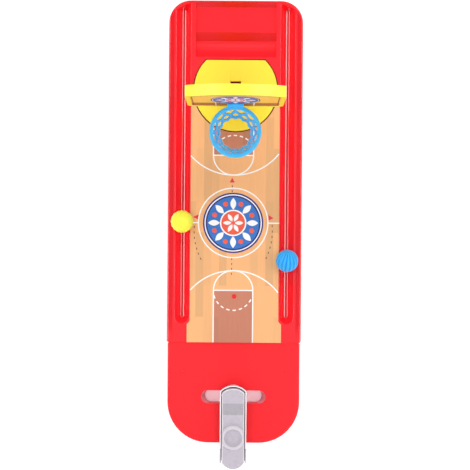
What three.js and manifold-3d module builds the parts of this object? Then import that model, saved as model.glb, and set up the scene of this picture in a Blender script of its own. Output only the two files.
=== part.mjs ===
// Tabletop basketball game in millimetres: +Z up, +Y towards the hoop, +X to the player's right.
// The origin lies on the table under the middle of the whole length, tray back to lever tip.
import * as THREE from "three";
import { mergeVertices } from "three/addons/utils/BufferGeometryUtils.js";
import Module from "manifold-3d";

const wasm = await Module();
wasm.setup();

// Clearances and cuts
const seatGap = 0.3; // between two pieces that touch
const runningGap = 0.4; // between two pieces that slide or turn on each other
const overrun = 5; // how far a cut runs past the face that it opens
const weldDistance = 0.0004; // vertices closer than this are one

// Facets round a full turn
const coarseSides = 16;
const roundSides = 24;
const fineSides = 48;
const arcSteps = 4; // along each rounded corner of an outline
const bevelSteps = 3;

// Rear tray: one shell that holds the court, the two ball gutters and the rear pocket
const trayLength = 300.7;
const trayWidth = 117.8;
const trayHeight = 18;
const trayWall = 2;
const traySkin = 2.6;
const trayBackCorner = 19.3;
const trayFrontCorner = 1.6;
const trayEdgeRound = 1.2;
const trayRibThickness = 1.4;
const trayRibLift = 4; // ribs stop this far above the table
const trayRibPitch = 36;

// Ball gutters: a rounded V with soft lips, round at the player's end
const gutterSideRim = 6.7; // between the tray's side and a gutter
const gutterHalfWidth = 6.3;
const gutterDepth = 8;
const gutterBottomRadius = 2.6;
const gutterLipRound = 0.6;
const gutterFrontMargin = 16.3; // from the seam to the round end
const gutterRim = 3; // between the tray's outline and the gutters' rear ends

// Court recess and the printed sheet that lies in it
const courtSideLand = 0.55; // between the court and a gutter's straight side
const courtFlare = 2.55; // how much wider the court is past the gutters' round ends
const courtLand = 0.9; // between the court and a gutter's round lip
const courtDepth = 0.9;
const courtBeforeFoot = 7.7; // the court stops this far before the middle of the hoop's foot
const sheetThickness = 0.5;
const sheetEdgeGap = 0.15;
const gateNubRadius = 1.7; // moulding nub that shows through a hole in the sheet
const gateNubFromSeam = 40.5;
const gateHoleRadius = 2.1;

// Rear pocket behind the hoop: back wall, shelf, step, trough and ramp
const pocketRidge = 4.2; // between the pocket and a gutter
const pocketMargin = 1.5; // from the tray's back to the pocket's rim
const pocketWallRun = 3.7;
const pocketShelfDepth = 4;
const pocketShelfLength = 22.1;
const pocketStepRun = 6.9;
const pocketTroughDepth = 8.6;
const pocketTroughLength = 1.5;
const pocketRampRun = 14.1;
const pocketRampSteps = 6;
const gateMarkRadius = 1.6; // ring left by the moulding gate on the shelf
const gateMarkInner = 0.7;
const gateMarkDepth = 0.3;
const gateMarkFromWall = 5.3; // in front of the back wall's foot

// Front panel: the player's end, with the cross slot that the launcher slides in
const panelLength = 88.7;
const panelSetback = 0.75; // the tray is this much wider on each side
const panelHeight = 16;
const panelWall = 2;
const panelSkin = 2.2;
const panelFrontCorner = 36;
const panelBackCorner = 1.6;
const panelEdgeRound = 1.2;
const panelRibThickness = 1.4;
const panelRibLift = 3;
const panelRibMargin = 21.65; // from the panel's side
const slotFromSeam = 48.1;
const slotLength = 57;
const slotWidth = 11.3;
const slotDepth = 9;
const slotEndLean = 3.4; // how far each end leans in over the slot's depth
const slotSkirtWall = 1.6;
const ejectorRadius = 2.5;
const ejectorDepth = 0.3;
const ejectorMargin = 12.95; // from the panel's side
const ejectorFromSeam = 25.5;

// Snap hooks that hold the panel to the tray
const hookOffset = 30;
const hookWidth = 12;
const hookThickness = 1.8;
const hookHeight = 7; // of its middle above the table
const hookReach = 5;
const hookBarb = 1.1;
const hookBarbLength = 2.4;

// Hoop foot: a round plate, cut straight at the back, snapped into the tray
const footFromBack = 78.5; // from the tray's back to the plate's centre
const footLand = 2.2; // between the foot's seat and a gutter
const footBackFlat = 26; // from the centre to the straight edge
const footThickness = 4;
const footSunk = 3; // depth of its seat in the tray
const footRim = 0.9; // gap all round, seen as a dark line
const footEdgeRound = 0.6;
const footLegOffset = 24;
const footLegWidth = 8;
const footLegThickness = 1.8;
const footLegBarb = 1;
const footLegBarbHeight = 2;
const footWindowWidth = 9.2;
const footWindowLength = 3;
const footWindowBack = 4.4; // behind the plate's centre
const footRampLength = 13; // of the shallow ramp down to the window
const footRampDepth = 0.9;
const footBackLeg = 18; // behind the plate's centre

// Hoop post: a hollow column with two prongs that carry the backboard
const postWidth = 34;
const postDepth = 11;
const postFront = -12.6; // from the foot's centre, along Y
const postColumnHeight = 44; // above the foot
const postWall = 1.8;
const postTenonInset = 3;
const postTenonThickness = 3.2;
const prongInner = 8;
const prongOuter = 16;
const prongThickness = 2.4;
const prongHeight = 36; // above the column's shoulder
const prongNeck = 7; // height of the sloped shoulder

// Backboard: an open-backed shell with an arched top
const boardWidth = 77.8;
const boardBottom = 71;
const boardSideHeight = 54;
const boardArch = 9;
const boardDepth = 8.4;
const boardPlate = 2.4;
const boardWall = 1.8;
const boardTopCorner = 5;
const boardBottomCorner = 7;
const boardRim = 3.6;
const boardFaceBehindHoop = 22.4; // from the hoop's centre to the board's face
const cardDepth = 1;
const cardThickness = 0.5;
const sleeveWall = 1.7;
const sleeveLip = 2;
const sleeveLipThickness = 1.5;
const sleeveHeight = 28;
const sleeveLift = 3;

// Hoop and net: one moulding
const hoopFromFoot = 44.7; // hoop centre in front of the foot's centre
const hoopAboveBoardBottom = 15;
const hoopOuterRadius = 21;
const hoopBandWidth = 3.4;
const hoopBandHeight = 3.4;
const netDepth = 15;
const netTopInset = 1.1; // of the net's wall inside the band's inner side, where it starts
const netBottomRadius = 12.5; // to the middle of the wall
const netWall = 1.4;
const netStrandWidth = 1.9;
const netRoots = 12; // strands that come down from the band
const netPartingShare = 0.24; // of the depth, where each root parts into two strands
const netHemShare = 0.17; // of the depth, for the notches between the hem's tips
const netEaseShare = 0.22; // of an opening's edge, taken off at each corner
const bracketWidth = 13;
const bracketHeight = 14;
const bracketThickness = 2.1;
const bracketDrop = 10.4; // from the hoop's middle down to the bracket's lower edge
const tabOffset = 3.4;
const tabWidth = 2.6;
const tabHeight = 5;
const tabBarb = 1;
const tabBarbLength = 1.6;

// Slide carriage: runs in the cross slot and carries the launcher on a turning boss
const carriageFlangeRadius = 11;
const carriageFlange = 2;
const stemLength = 14;
const stemClearance = 0.3; // to each long side of the slot
const bossRadius = 5;
const retainerWidth = 24;
const retainerLength = 18.6;
const retainerThickness = 2;
const retainerCorner = 3;
const screwRadius = 1.5;
const screwHeadRadius = 3;
const screwHeadHeight = 2;
const screwRecessWidth = 0.9;
const screwRecessLength = 3.6;
const screwRecessDepth = 1;
const upperScrewLength = 8.5;
const lowerScrewLength = 6;
const washerRadius = 6.4;
const washerThickness = 1;

// Launcher channel: a U-shaped body with an arched nose, swivelling on the boss
const channelWidth = 23;
const channelNose = 13.2; // nose in front of the swivel axis
const channelTail = 55.2;
const channelNoseRadius = 16;
const channelNoseRake = 3.2; // how far the nose draws back down to its foot
const channelWall = 1.2;
const channelFloor = 2;
const cheekHeight = 17.4; // of the walls beside the pin
const railHeight = 11.6; // of the walls beside the cup
const cheekEnd = 4.5; // behind the swivel axis
const railStart = 15.5; // behind the swivel axis

// Lever: pivots on a pin near the nose and carries the ball cup
const leverSideGap = 0.75;
const leverNoseGap = 1;
const leverTail = 59.6; // tip behind the swivel axis
const leverTipRadius = 10.6;
const leverHighTop = 21.4; // above the channel's underside
const leverLowTop = 15.4;
const leverSlopeStart = 1.6; // behind the swivel axis
const leverSlopeEnd = 12.6;
const leverSkin = 2.2;
const leverWall = 1.6;
const leverRimDepth = 3.8; // of the side walls along the low part
const leverCheekDepth = 12; // of the side walls beside the pin
const leverCheekEnd = 3; // behind the swivel axis
const leverTipDrop = 1.2;
const leverTipDropStart = 44; // behind the swivel axis
const cupBehindAxis = 32.2;
const cupRimRadius = 10.7;
const cupRimHeight = 1.6;
const cupMouthRadius = 7.8;
const cupDepth = 3.8;
const cupWall = 1.5;
const pinAheadOfAxis = 4.5;
const pinHeight = 12.4; // above the channel's underside
const pinRadius = 1.5;
const pinEndGap = 0.2;

// Torsion spring on the pin
const springWire = 0.9;
const springMeanRadius = 3;
const springPitch = 1.42;
const springTurns = 4.25;
const springStepsPerTurn = 8;
const springLegSteps = 3;
const springSides = 5;
const springUpperLeg = 11;

// Balls
const ballRadius = 9.75;
const yellowBallFromSeam = 105.9;
const blueBallFromSeam = 72.3;

// Sizes and places worked out from the sizes above
const gutterOffset = trayWidth / 2 - gutterSideRim - gutterHalfWidth;
const gutterInnerEdge = gutterOffset - gutterHalfWidth;
const courtHalfWidth = gutterInnerEdge - courtSideLand;
const courtFrontHalfWidth = courtHalfWidth + courtFlare;
const courtLength = trayLength - footFromBack - courtBeforeFoot;
const pocketHalfWidth = gutterInnerEdge - pocketRidge;
const footRadius = gutterInnerEdge - footLand - footRim;
const trayRibOffset = courtHalfWidth / 2;
const panelWidth = trayWidth - 2 * panelSetback;
const panelRibOffset = panelWidth / 2 - panelRibMargin;
const ejectorOffset = panelWidth / 2 - ejectorMargin;
const wholeLength = trayLength + slotFromSeam + leverTail;
const trayBack = wholeLength / 2;
const seam = trayBack - trayLength;
const slotPlace = seam - slotFromSeam;
const gutterEndCentre = seam + gutterFrontMargin + gutterHalfWidth;
const footPlace = trayBack - footFromBack;
const footTop = trayHeight - footSunk + seatGap + footThickness;
const hoopPlace = footPlace - hoopFromFoot;
const hoopHeight = boardBottom + hoopAboveBoardBottom;
const bracketBottom = hoopHeight - bracketDrop;
const boardFace = hoopPlace + boardFaceBehindHoop;
const boardBack = boardFace + boardDepth;
const flangeBottom = panelHeight + seatGap;
const channelBottom = flangeBottom + carriageFlange + seatGap;
const slotBottom = panelHeight - slotDepth;

// Materials
const red = { color: 0xf82a34, roughness: 0.32, metalness: 0 };
const yellow = { color: 0xfdf03c, roughness: 0.35, metalness: 0 };
const blue = { color: 0x2f9bf2, roughness: 0.3, metalness: 0 };
const grey = { color: 0xc8c5cf, roughness: 0.38, metalness: 0 };
const courtPrint = { color: 0xf4bd84, roughness: 0.5, metalness: 0 };
const steel = { color: 0xb9bcc0, roughness: 0.3, metalness: 1 };

// A closed geometry as a solid that can be joined and cut.
function solid(geometry) {
  const bare = new THREE.BufferGeometry();
  const source = geometry.index ? geometry.toNonIndexed() : geometry;
  bare.setAttribute("position", source.getAttribute("position"));
  const merged = mergeVertices(bare, weldDistance);
  const corners = merged.index.array;
  const kept = [];
  for (let i = 0; i < corners.length; i += 3) {
    const [a, b, c] = [corners[i], corners[i + 1], corners[i + 2]];
    if (a !== b && b !== c && c !== a) kept.push(a, b, c);
  }
  return new wasm.Manifold(
    new wasm.Mesh({
      numProp: 3,
      vertProperties: merged.attributes.position.array,
      triVerts: new Uint32Array(kept),
    }),
  );
}

function joined(solids) {
  return solids.reduce((all, next) => all.add(next));
}

function part(name, body, look) {
  const made = body.getMesh();
  const geometry = new THREE.BufferGeometry();
  geometry.setAttribute("position", new THREE.BufferAttribute(made.vertProperties, made.numProp));
  geometry.setIndex(new THREE.BufferAttribute(made.triVerts, 1));
  geometry.computeVertexNormals();
  const mesh = new THREE.Mesh(geometry, new THREE.MeshStandardMaterial(look));
  mesh.name = name;
  return mesh;
}

// A plan outline raised from one height to another.
function prism(outline, bottom, top, steps = arcSteps) {
  const geometry = new THREE.ExtrudeGeometry(outline, {
    depth: top - bottom,
    bevelEnabled: false,
    curveSegments: steps,
  });
  return solid(geometry.translate(0, 0, bottom));
}

// The same with a rounded top edge; the lower round is cut away at the bottom height.
function roundedPrism(outline, bottom, top, round, steps = arcSteps) {
  const geometry = new THREE.ExtrudeGeometry(outline, {
    depth: top - bottom,
    curveSegments: steps,
    bevelThickness: round,
    bevelSize: round,
    bevelOffset: -round,
    bevelSegments: bevelSteps,
  });
  const raised = solid(geometry.translate(0, 0, bottom - round));
  return raised.intersect(slab(bottom, top + overrun));
}

// A layer of space wider than any piece.
function slab(bottom, top) {
  return block([-wholeLength, wholeLength], [-wholeLength, wholeLength], [bottom, top]);
}

// A side profile of (y, z) points, spread across X.
function acrossX(outline, from, to, steps = arcSteps) {
  const geometry = new THREE.ExtrudeGeometry(outline, {
    depth: to - from,
    bevelEnabled: false,
    curveSegments: steps,
  });
  const turn = new THREE.Matrix4().makeBasis(
    new THREE.Vector3(0, 1, 0),
    new THREE.Vector3(0, 0, 1),
    new THREE.Vector3(1, 0, 0),
  );
  return solid(geometry.applyMatrix4(turn).translate(from, 0, 0));
}

// A cross section of (x, z) points, run along Y.
function alongY(outline, from, to, steps = arcSteps) {
  const geometry = new THREE.ExtrudeGeometry(outline, {
    depth: to - from,
    bevelEnabled: false,
    curveSegments: steps,
  });
  return solid(geometry.rotateX(Math.PI / 2).translate(0, to, 0));
}

function block(xs, ys, zs) {
  const size = [xs, ys, zs].map(([low, high]) => high - low);
  const middle = [xs, ys, zs].map(([low, high]) => (low + high) / 2);
  return solid(new THREE.BoxGeometry(...size).translate(...middle));
}

function drum(radius, bottom, top, x = 0, y = 0, sides = roundSides) {
  const geometry = new THREE.CylinderGeometry(radius, radius, top - bottom, sides);
  return solid(geometry.rotateX(Math.PI / 2).translate(x, y, (top + bottom) / 2));
}

// A round bar across X at (y, z).
function crossBar(radius, from, to, y, z, sides = coarseSides) {
  const geometry = new THREE.CylinderGeometry(radius, radius, to - from, sides);
  return solid(geometry.rotateZ(Math.PI / 2).translate((from + to) / 2, y, z));
}

// A profile of (radius, height) points turned round the vertical.
function turned(points, sides = roundSides) {
  const profile = points.map(([radius, height]) => new THREE.Vector2(radius, height));
  return solid(new THREE.LatheGeometry(profile, sides).rotateX(Math.PI / 2));
}

function polygon(points) {
  return new THREE.Shape(points.map(([x, y]) => new THREE.Vector2(x, y)));
}

// A rectangle whose front pair and back pair of corners have their own radii.
function plate(halfWidth, front, back, frontCorner, backCorner) {
  const shape = new THREE.Shape();
  shape.moveTo(-halfWidth + frontCorner, front);
  shape.lineTo(halfWidth - frontCorner, front);
  shape.absarc(halfWidth - frontCorner, front + frontCorner, frontCorner, -Math.PI / 2, 0);
  shape.lineTo(halfWidth, back - backCorner);
  shape.absarc(halfWidth - backCorner, back - backCorner, backCorner, 0, Math.PI / 2);
  shape.lineTo(-halfWidth + backCorner, back);
  shape.absarc(-halfWidth + backCorner, back - backCorner, backCorner, Math.PI / 2, Math.PI);
  shape.lineTo(-halfWidth, front + frontCorner);
  shape.absarc(-halfWidth + frontCorner, front + frontCorner, frontCorner, Math.PI, 1.5 * Math.PI);
  return shape;
}

function mirroredPair(makeSide) {
  return joined([-1, 1].map(makeSide));
}

// Half of a gutter's section, from the middle of its bottom out to its lip, as (across, height)
// points; spread makes the same section larger all round, for the skin underneath.
function gutterHalfSection(spread) {
  const halfWidth = gutterHalfWidth + spread;
  const bottomRadius = gutterBottomRadius + spread;
  const sunk = gutterDepth - gutterBottomRadius;
  const lean = Math.acos(bottomRadius / Math.hypot(halfWidth, sunk)) - Math.atan2(sunk, halfWidth);
  const points = [];
  for (let i = 0; i <= arcSteps; i++) {
    const angle = ((Math.PI / 2 - lean) * i) / arcSteps;
    points.push([
      bottomRadius * Math.sin(angle),
      trayHeight - sunk - bottomRadius * Math.cos(angle),
    ]);
  }
  if (spread > 0) {
    points.push([halfWidth, trayHeight]);
    return points;
  }
  const lipPlace = gutterLipPlace(lean);
  for (let i = 0; i <= bevelSteps; i++) {
    const angle = lean + ((Math.PI / 2 - lean) * i) / bevelSteps;
    points.push([
      lipPlace - gutterLipRound * Math.cos(angle),
      trayHeight - gutterLipRound + gutterLipRound * Math.sin(angle),
    ]);
  }
  points.push([lipPlace, trayHeight + overrun]);
  return points;
}

// Where a lip's round starts on the tray's top, from the gutter's middle.
function gutterLipPlace(lean) {
  const slide = (gutterLipRound * (1 - Math.sin(lean))) / Math.cos(lean);
  return gutterHalfWidth + gutterLipRound * Math.cos(lean) - slide * Math.sin(lean);
}

function gutterLean() {
  const sunk = gutterDepth - gutterBottomRadius;
  const reach = Math.hypot(gutterHalfWidth, sunk);
  return Math.acos(gutterBottomRadius / reach) - Math.atan2(sunk, gutterHalfWidth);
}

// One gutter as a filled form: a straight run and a round end.
function gutterForm(side, spread) {
  const half = gutterHalfSection(spread);
  const top = half[half.length - 1][1];
  const left = half.slice(1).reverse().map(([across, height]) => [-across, height]);
  const run = alongY(polygon([...left, ...half]), gutterEndCentre, trayBack + overrun);
  const end = turned([...half, [0, top]]).translate([0, gutterEndCentre, 0]);
  return run.add(end).translate([side * gutterOffset, 0, 0]);
}

// The tray's outline, drawn in by inset; runPast takes its front end past the seam.
function trayOutline(inset, runPast = 0) {
  return plate(
    trayWidth / 2 - inset,
    seam + inset - runPast,
    trayBack - inset,
    Math.max(trayFrontCorner - inset, trayFrontCorner / 2),
    trayBackCorner - inset,
  );
}

function gutterCuts() {
  const reach = plate(
    trayWidth / 2 - gutterRim,
    seam,
    trayBack - gutterRim,
    trayFrontCorner,
    trayBackCorner - gutterRim,
  );
  return mirroredPair((side) => gutterForm(side, 0)).intersect(
    prism(reach, 0, trayHeight + overrun),
  );
}

function gutterSkins() {
  return mirroredPair((side) => gutterForm(side, trayWall));
}

// The court's outline widens round the ends of the gutters; inset draws it in.
function courtOutline(inset, front) {
  const back = seam + courtLength - inset;
  const half = courtHalfWidth - inset;
  const frontHalf = courtFrontHalfWidth - inset;
  const round = gutterHalfWidth + gutterLipRound + courtLand + inset;
  const fromEnd = (across) => -Math.sqrt(round ** 2 - (gutterOffset - across) ** 2);
  const start = Math.atan2(fromEnd(frontHalf), frontHalf - gutterOffset);
  const stop = Math.atan2(fromEnd(half), half - gutterOffset);
  const shape = new THREE.Shape();
  shape.moveTo(-frontHalf, front);
  shape.lineTo(frontHalf, front);
  shape.absarc(gutterOffset, gutterEndCentre, round, start, stop, true);
  shape.lineTo(half, back);
  shape.lineTo(-half, back);
  shape.absarc(-gutterOffset, gutterEndCentre, round, -Math.PI - stop, -Math.PI - start, true);
  return shape;
}

// Side profile of the rear pocket, lowered for the skin underneath.
function pocketProfile(lowered) {
  const rim = trayBack - pocketMargin;
  const top = trayHeight + overrun;
  const wallFoot = rim - pocketWallRun;
  const shelfEnd = wallFoot - pocketShelfLength;
  const stepFoot = shelfEnd - pocketStepRun;
  const troughEnd = stepFoot - pocketTroughLength;
  const ramp = [];
  for (let i = 0; i <= pocketRampSteps; i++) {
    const share = i / pocketRampSteps;
    const rise = pocketTroughDepth * (1 - Math.cos((Math.PI / 2) * share));
    ramp.push([
      troughEnd - (pocketRampRun + lowered) * share,
      trayHeight - pocketTroughDepth - lowered + rise,
    ]);
  }
  return polygon([
    [rim + lowered, top],
    [rim + lowered, trayHeight - lowered],
    [wallFoot, trayHeight - pocketShelfDepth - lowered],
    [shelfEnd, trayHeight - pocketShelfDepth - lowered],
    [stepFoot, trayHeight - pocketTroughDepth - lowered],
    ...ramp,
    [troughEnd - pocketRampRun - lowered, top],
  ]);
}

// A shallow ring that the moulding gate leaves on the pocket's shelf.
function gateMark() {
  const place = trayBack - pocketMargin - pocketWallRun - gateMarkFromWall;
  const shelf = trayHeight - pocketShelfDepth;
  const ring = (radius) =>
    drum(radius, shelf - gateMarkDepth, shelf + overrun, 0, place, coarseSides);
  return ring(gateMarkRadius).subtract(ring(gateMarkInner));
}

// The foot's outline: a circle cut straight at the back.
function footOutline(spread) {
  const radius = footRadius + spread;
  const flat = footBackFlat + spread;
  const halfFlat = Math.sqrt(radius ** 2 - flat ** 2);
  const start = Math.atan2(flat, -halfFlat);
  const stop = Math.atan2(flat, halfFlat) + 2 * Math.PI;
  const shape = new THREE.Shape();
  shape.moveTo(halfFlat, flat);
  shape.lineTo(-halfFlat, flat);
  shape.absarc(0, 0, radius, start, stop);
  return shape;
}

function footLegPlaces() {
  return [
    [-footLegOffset, 0],
    [footLegOffset, 0],
    [0, footBackLeg],
  ];
}

// Openings in the seat's floor that the foot's legs pass through.
function footLegHoles() {
  const halfWidth = footLegWidth / 2 + seatGap;
  const halfDepth = footLegThickness / 2 + seatGap + footLegBarb;
  return joined(
    footLegPlaces().map(([x, y]) =>
      block(
        [x - halfWidth, x + halfWidth],
        [y - halfDepth, y + halfDepth],
        [0, trayHeight],
      ),
    ),
  ).translate([0, footPlace, 0]);
}

function trayRibs() {
  const halfWidth = trayWidth / 2;
  const crossCount = Math.floor((trayLength - trayWall) / trayRibPitch);
  const ribs = [];
  for (let i = 1; i <= crossCount; i++) {
    const place = seam + i * trayRibPitch;
    ribs.push(
      block(
        [-halfWidth, halfWidth],
        [place - trayRibThickness / 2, place + trayRibThickness / 2],
        [trayRibLift, trayHeight],
      ),
    );
  }
  for (const side of [-1, 1]) {
    const middle = side * trayRibOffset;
    ribs.push(
      block(
        [middle - trayRibThickness / 2, middle + trayRibThickness / 2],
        [seam, trayBack],
        [trayRibLift, trayHeight],
      ),
    );
  }
  return joined(ribs);
}

function hookWindows() {
  const halfWidth = hookWidth / 2 + seatGap;
  return mirroredPair((side) =>
    block(
      [side * hookOffset - halfWidth, side * hookOffset + halfWidth],
      [seam - overrun, seam + trayWall + overrun],
      [
        hookHeight - hookThickness / 2 - seatGap,
        hookHeight + hookThickness / 2 + hookBarb + seatGap,
      ],
    ),
  );
}

function rearTray() {
  const shell = roundedPrism(
    trayOutline(0, overrun),
    0,
    trayHeight,
    trayEdgeRound,
    arcSteps * 2,
  ).intersect(prism(trayOutline(0), 0, trayHeight, arcSteps * 2));
  const cavity = prism(trayOutline(trayWall), -overrun, trayHeight - traySkin);
  const seat = footOutline(footRim + trayWall);
  const skins = joined([
    gutterSkins(),
    acrossX(pocketProfile(trayWall), -pocketHalfWidth - trayWall, pocketHalfWidth + trayWall),
    prism(seat, trayHeight - footSunk - trayWall, trayHeight, roundSides).translate([
      0,
      footPlace,
      0,
    ]),
    trayRibs(),
  ]);
  const recess = prism(
    courtOutline(0, seam - overrun),
    trayHeight - courtDepth,
    trayHeight + overrun,
  );
  const footSeat = prism(
    footOutline(footRim),
    trayHeight - footSunk,
    trayHeight + overrun,
    roundSides,
  );
  const cuts = joined([
    gutterCuts(),
    recess,
    acrossX(pocketProfile(0), -pocketHalfWidth, pocketHalfWidth),
    gateMark(),
    footSeat.translate([0, footPlace, 0]),
    footLegHoles(),
    hookWindows(),
  ]);
  const nubTop = trayHeight - courtDepth + seatGap + sheetThickness;
  const nub = drum(
    gateNubRadius,
    trayHeight - traySkin,
    nubTop,
    0,
    seam + gateNubFromSeam,
    coarseSides,
  );
  return shell.subtract(cavity.subtract(skins)).subtract(cuts).add(nub);
}

function courtSheet() {
  const bottom = trayHeight - courtDepth + seatGap;
  const sheet = prism(courtOutline(sheetEdgeGap, seam), bottom, bottom + sheetThickness);
  const roundFoot = drum(
    footRadius + footRim + sheetEdgeGap,
    0,
    trayHeight + overrun,
    0,
    footPlace,
    fineSides,
  );
  const gateHole = drum(
    gateHoleRadius,
    0,
    trayHeight + overrun,
    0,
    seam + gateNubFromSeam,
    coarseSides,
  );
  return sheet.subtract(roundFoot).subtract(gateHole);
}

// The panel's outline in its own frame, with the seam at zero and the player at minus Y;
// runPast takes its back end past the seam.
function panelOutline(inset, runPast = 0) {
  return plate(
    panelWidth / 2 - inset,
    -panelLength + inset,
    runPast - seatGap - inset,
    panelFrontCorner - inset,
    Math.max(panelBackCorner - inset, panelBackCorner / 2),
  );
}

function stadium(length, width) {
  const radius = width / 2;
  const straight = length / 2 - radius;
  const shape = new THREE.Shape();
  shape.moveTo(-straight, -radius);
  shape.lineTo(straight, -radius);
  shape.absarc(straight, 0, radius, -Math.PI / 2, Math.PI / 2);
  shape.lineTo(-straight, radius);
  shape.absarc(-straight, 0, radius, Math.PI / 2, 1.5 * Math.PI);
  return shape;
}

// The slot as a filled form whose round ends lean inwards, or its skirt when spread.
function slotForm(spread, bottom, top) {
  const outline = stadium(slotLength + 2 * spread, slotWidth + 2 * spread);
  const geometry = new THREE.ExtrudeGeometry(outline, {
    depth: top - bottom,
    bevelEnabled: false,
    curveSegments: arcSteps * 2,
  });
  geometry.translate(0, 0, bottom);
  const place = geometry.getAttribute("position");
  for (let i = 0; i < place.count; i++) {
    const lean = (slotEndLean * (panelHeight - place.getZ(i))) / slotDepth;
    place.setX(i, place.getX(i) - Math.sign(place.getX(i)) * lean);
  }
  return solid(geometry);
}

function panelHooks() {
  return mirroredPair((side) => {
    const low = hookHeight - hookThickness / 2;
    const high = hookHeight + hookThickness / 2;
    const barbFoot = trayWall + seatGap;
    const profile = polygon([
      [-panelWall, low],
      [hookReach + hookBarbLength, low],
      [hookReach + hookBarbLength, high],
      [barbFoot + hookBarb / 2, high + hookBarb],
      [barbFoot, high + hookBarb],
      [barbFoot, high],
      [-panelWall, high],
    ]);
    const middle = side * hookOffset;
    return acrossX(profile, middle - hookWidth / 2, middle + hookWidth / 2);
  });
}

function panelRibs() {
  const ribs = [];
  for (const side of [-1, 1]) {
    const middle = side * panelRibOffset;
    ribs.push(
      block(
        [middle - panelRibThickness / 2, middle + panelRibThickness / 2],
        [-panelLength, 0],
        [panelRibLift, panelHeight],
      ),
    );
  }
  const beside = retainerLength / 2 + panelRibThickness;
  for (const place of [-slotFromSeam - beside, -slotFromSeam + beside]) {
    ribs.push(
      block(
        [-panelWidth / 2, panelWidth / 2],
        [place - panelRibThickness / 2, place + panelRibThickness / 2],
        [panelRibLift, panelHeight],
      ),
    );
  }
  return joined(ribs);
}

function frontPanel() {
  const shell = roundedPrism(
    panelOutline(0, overrun),
    0,
    panelHeight,
    panelEdgeRound,
    arcSteps * 2,
  ).intersect(prism(panelOutline(0), 0, panelHeight, arcSteps * 2));
  const cavity = prism(panelOutline(panelWall), -overrun, panelHeight - panelSkin);
  const skirt = slotForm(slotSkirtWall, slotBottom, panelHeight).translate([0, -slotFromSeam, 0]);
  const slot = slotForm(0, slotBottom - overrun, panelHeight + overrun);
  const marks = mirroredPair((side) =>
    drum(
      ejectorRadius,
      panelHeight - ejectorDepth,
      panelHeight + overrun,
      side * ejectorOffset,
      -ejectorFromSeam,
      coarseSides,
    ),
  );
  const ribs = panelRibs();
  return shell
    .subtract(cavity.subtract(skirt).subtract(ribs))
    .subtract(slot.translate([0, -slotFromSeam, 0]))
    .subtract(marks)
    .add(panelHooks());
}

// The post's base stands in an opening of the foot; the tenon is narrower than the column.
function tenonBox(spread, bottom, top) {
  const halfWidth = postWidth / 2 - postTenonInset + spread;
  const front = postFront + postTenonInset - spread;
  const back = postFront + postDepth - postTenonInset + spread;
  return block([-halfWidth, halfWidth], [front, back], [bottom, top]);
}

// Legs reach through the tray and hook under its seat.
function footLegs(plateBottom) {
  const grip = plateBottom - seatGap - trayWall - seatGap;
  return joined(
    footLegPlaces().map(([x, y]) => {
      const inner = y - footLegThickness / 2;
      const outer = y + footLegThickness / 2;
      const profile = polygon([
        [inner, plateBottom + overrun / 2],
        [inner, grip - footLegBarbHeight],
        [outer, grip - footLegBarbHeight],
        [outer + footLegBarb, grip - footLegBarb / 2],
        [outer + footLegBarb, grip],
        [outer, grip],
        [outer, plateBottom + overrun / 2],
      ]);
      return acrossX(profile, x - footLegWidth / 2, x + footLegWidth / 2);
    }),
  );
}

function hoopFoot() {
  const bottom = trayHeight - footSunk + seatGap;
  const disc = roundedPrism(footOutline(0), bottom, footTop, footEdgeRound, roundSides);
  const window = block(
    [-footWindowWidth / 2, footWindowWidth / 2],
    [footWindowBack, footWindowBack + footWindowLength],
    [bottom - overrun, footTop + overrun],
  );
  const windowEdge = footWindowBack + footWindowLength;
  const rampProfile = polygon([
    [windowEdge - footWindowLength / 2, footTop - footRampDepth],
    [windowEdge, footTop - footRampDepth],
    [windowEdge + footRampLength, footTop],
    [windowEdge + footRampLength, footTop + overrun],
    [windowEdge - footWindowLength / 2, footTop + overrun],
  ]);
  const ramp = acrossX(rampProfile, -footWindowWidth / 2, footWindowWidth / 2);
  const mortise = tenonBox(seatGap, footTop - postTenonThickness, footTop + overrun);
  return disc.subtract(window).subtract(ramp).subtract(mortise).add(footLegs(bottom));
}

// How far the prongs stand in front of the column.
function prongFrontRun() {
  return postFront + footPlace - boardFace - boardPlate - seatGap;
}

// Side profile of the post: a column whose front leans over into the board's prongs.
function postColumnProfile(wall, bottom) {
  const front = postFront + wall;
  const back = postFront + postDepth - wall;
  const shoulder = footTop + postColumnHeight;
  const prongFront = boardFace + boardPlate + seatGap - footPlace + wall;
  const prongBack = prongFront + prongThickness - wall;
  const neckTop = shoulder + prongNeck - 2 * wall;
  const leanLift = wall * (Math.SQRT2 - 1);
  return polygon([
    [front, bottom],
    [back, bottom],
    [back, shoulder - prongNeck - wall],
    [prongBack, neckTop],
    [prongFront, neckTop],
    [prongFront, shoulder - prongNeck * 2 + leanLift],
    [front, shoulder - prongNeck * 2 + leanLift - prongFrontRun()],
  ]);
}

function hoopPost() {
  const base = footTop + seatGap;
  const half = postWidth / 2;
  const column = acrossX(postColumnProfile(0, base), -half, half);
  const hollow = acrossX(postColumnProfile(postWall, base + postWall), postWall - half, half - postWall);
  const back = postFront + postDepth;
  const doorway = block(
    [postWall - half, half - postWall],
    [back - postWall * 2, back + overrun],
    [base + postWall, footTop + postColumnHeight - prongNeck * 2],
  );
  const web = block(
    [-postWall / 2, postWall / 2],
    [postFront, back - postWall],
    [base, footTop + postColumnHeight - prongNeck],
  );
  const tenon = tenonBox(0, footTop - postTenonThickness + seatGap, base + postWall);
  const prongFront = boardFace + boardPlate + seatGap - footPlace;
  const shoulder = footTop + postColumnHeight;
  const prongs = mirroredPair((side) =>
    block(
      side > 0 ? [prongInner, prongOuter] : [-prongOuter, -prongInner],
      [prongFront, prongFront + prongThickness],
      [shoulder - prongNeck, shoulder + prongHeight],
    ),
  );
  return column.subtract(hollow).subtract(doorway).add(web).add(tenon).add(prongs);
}

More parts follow.
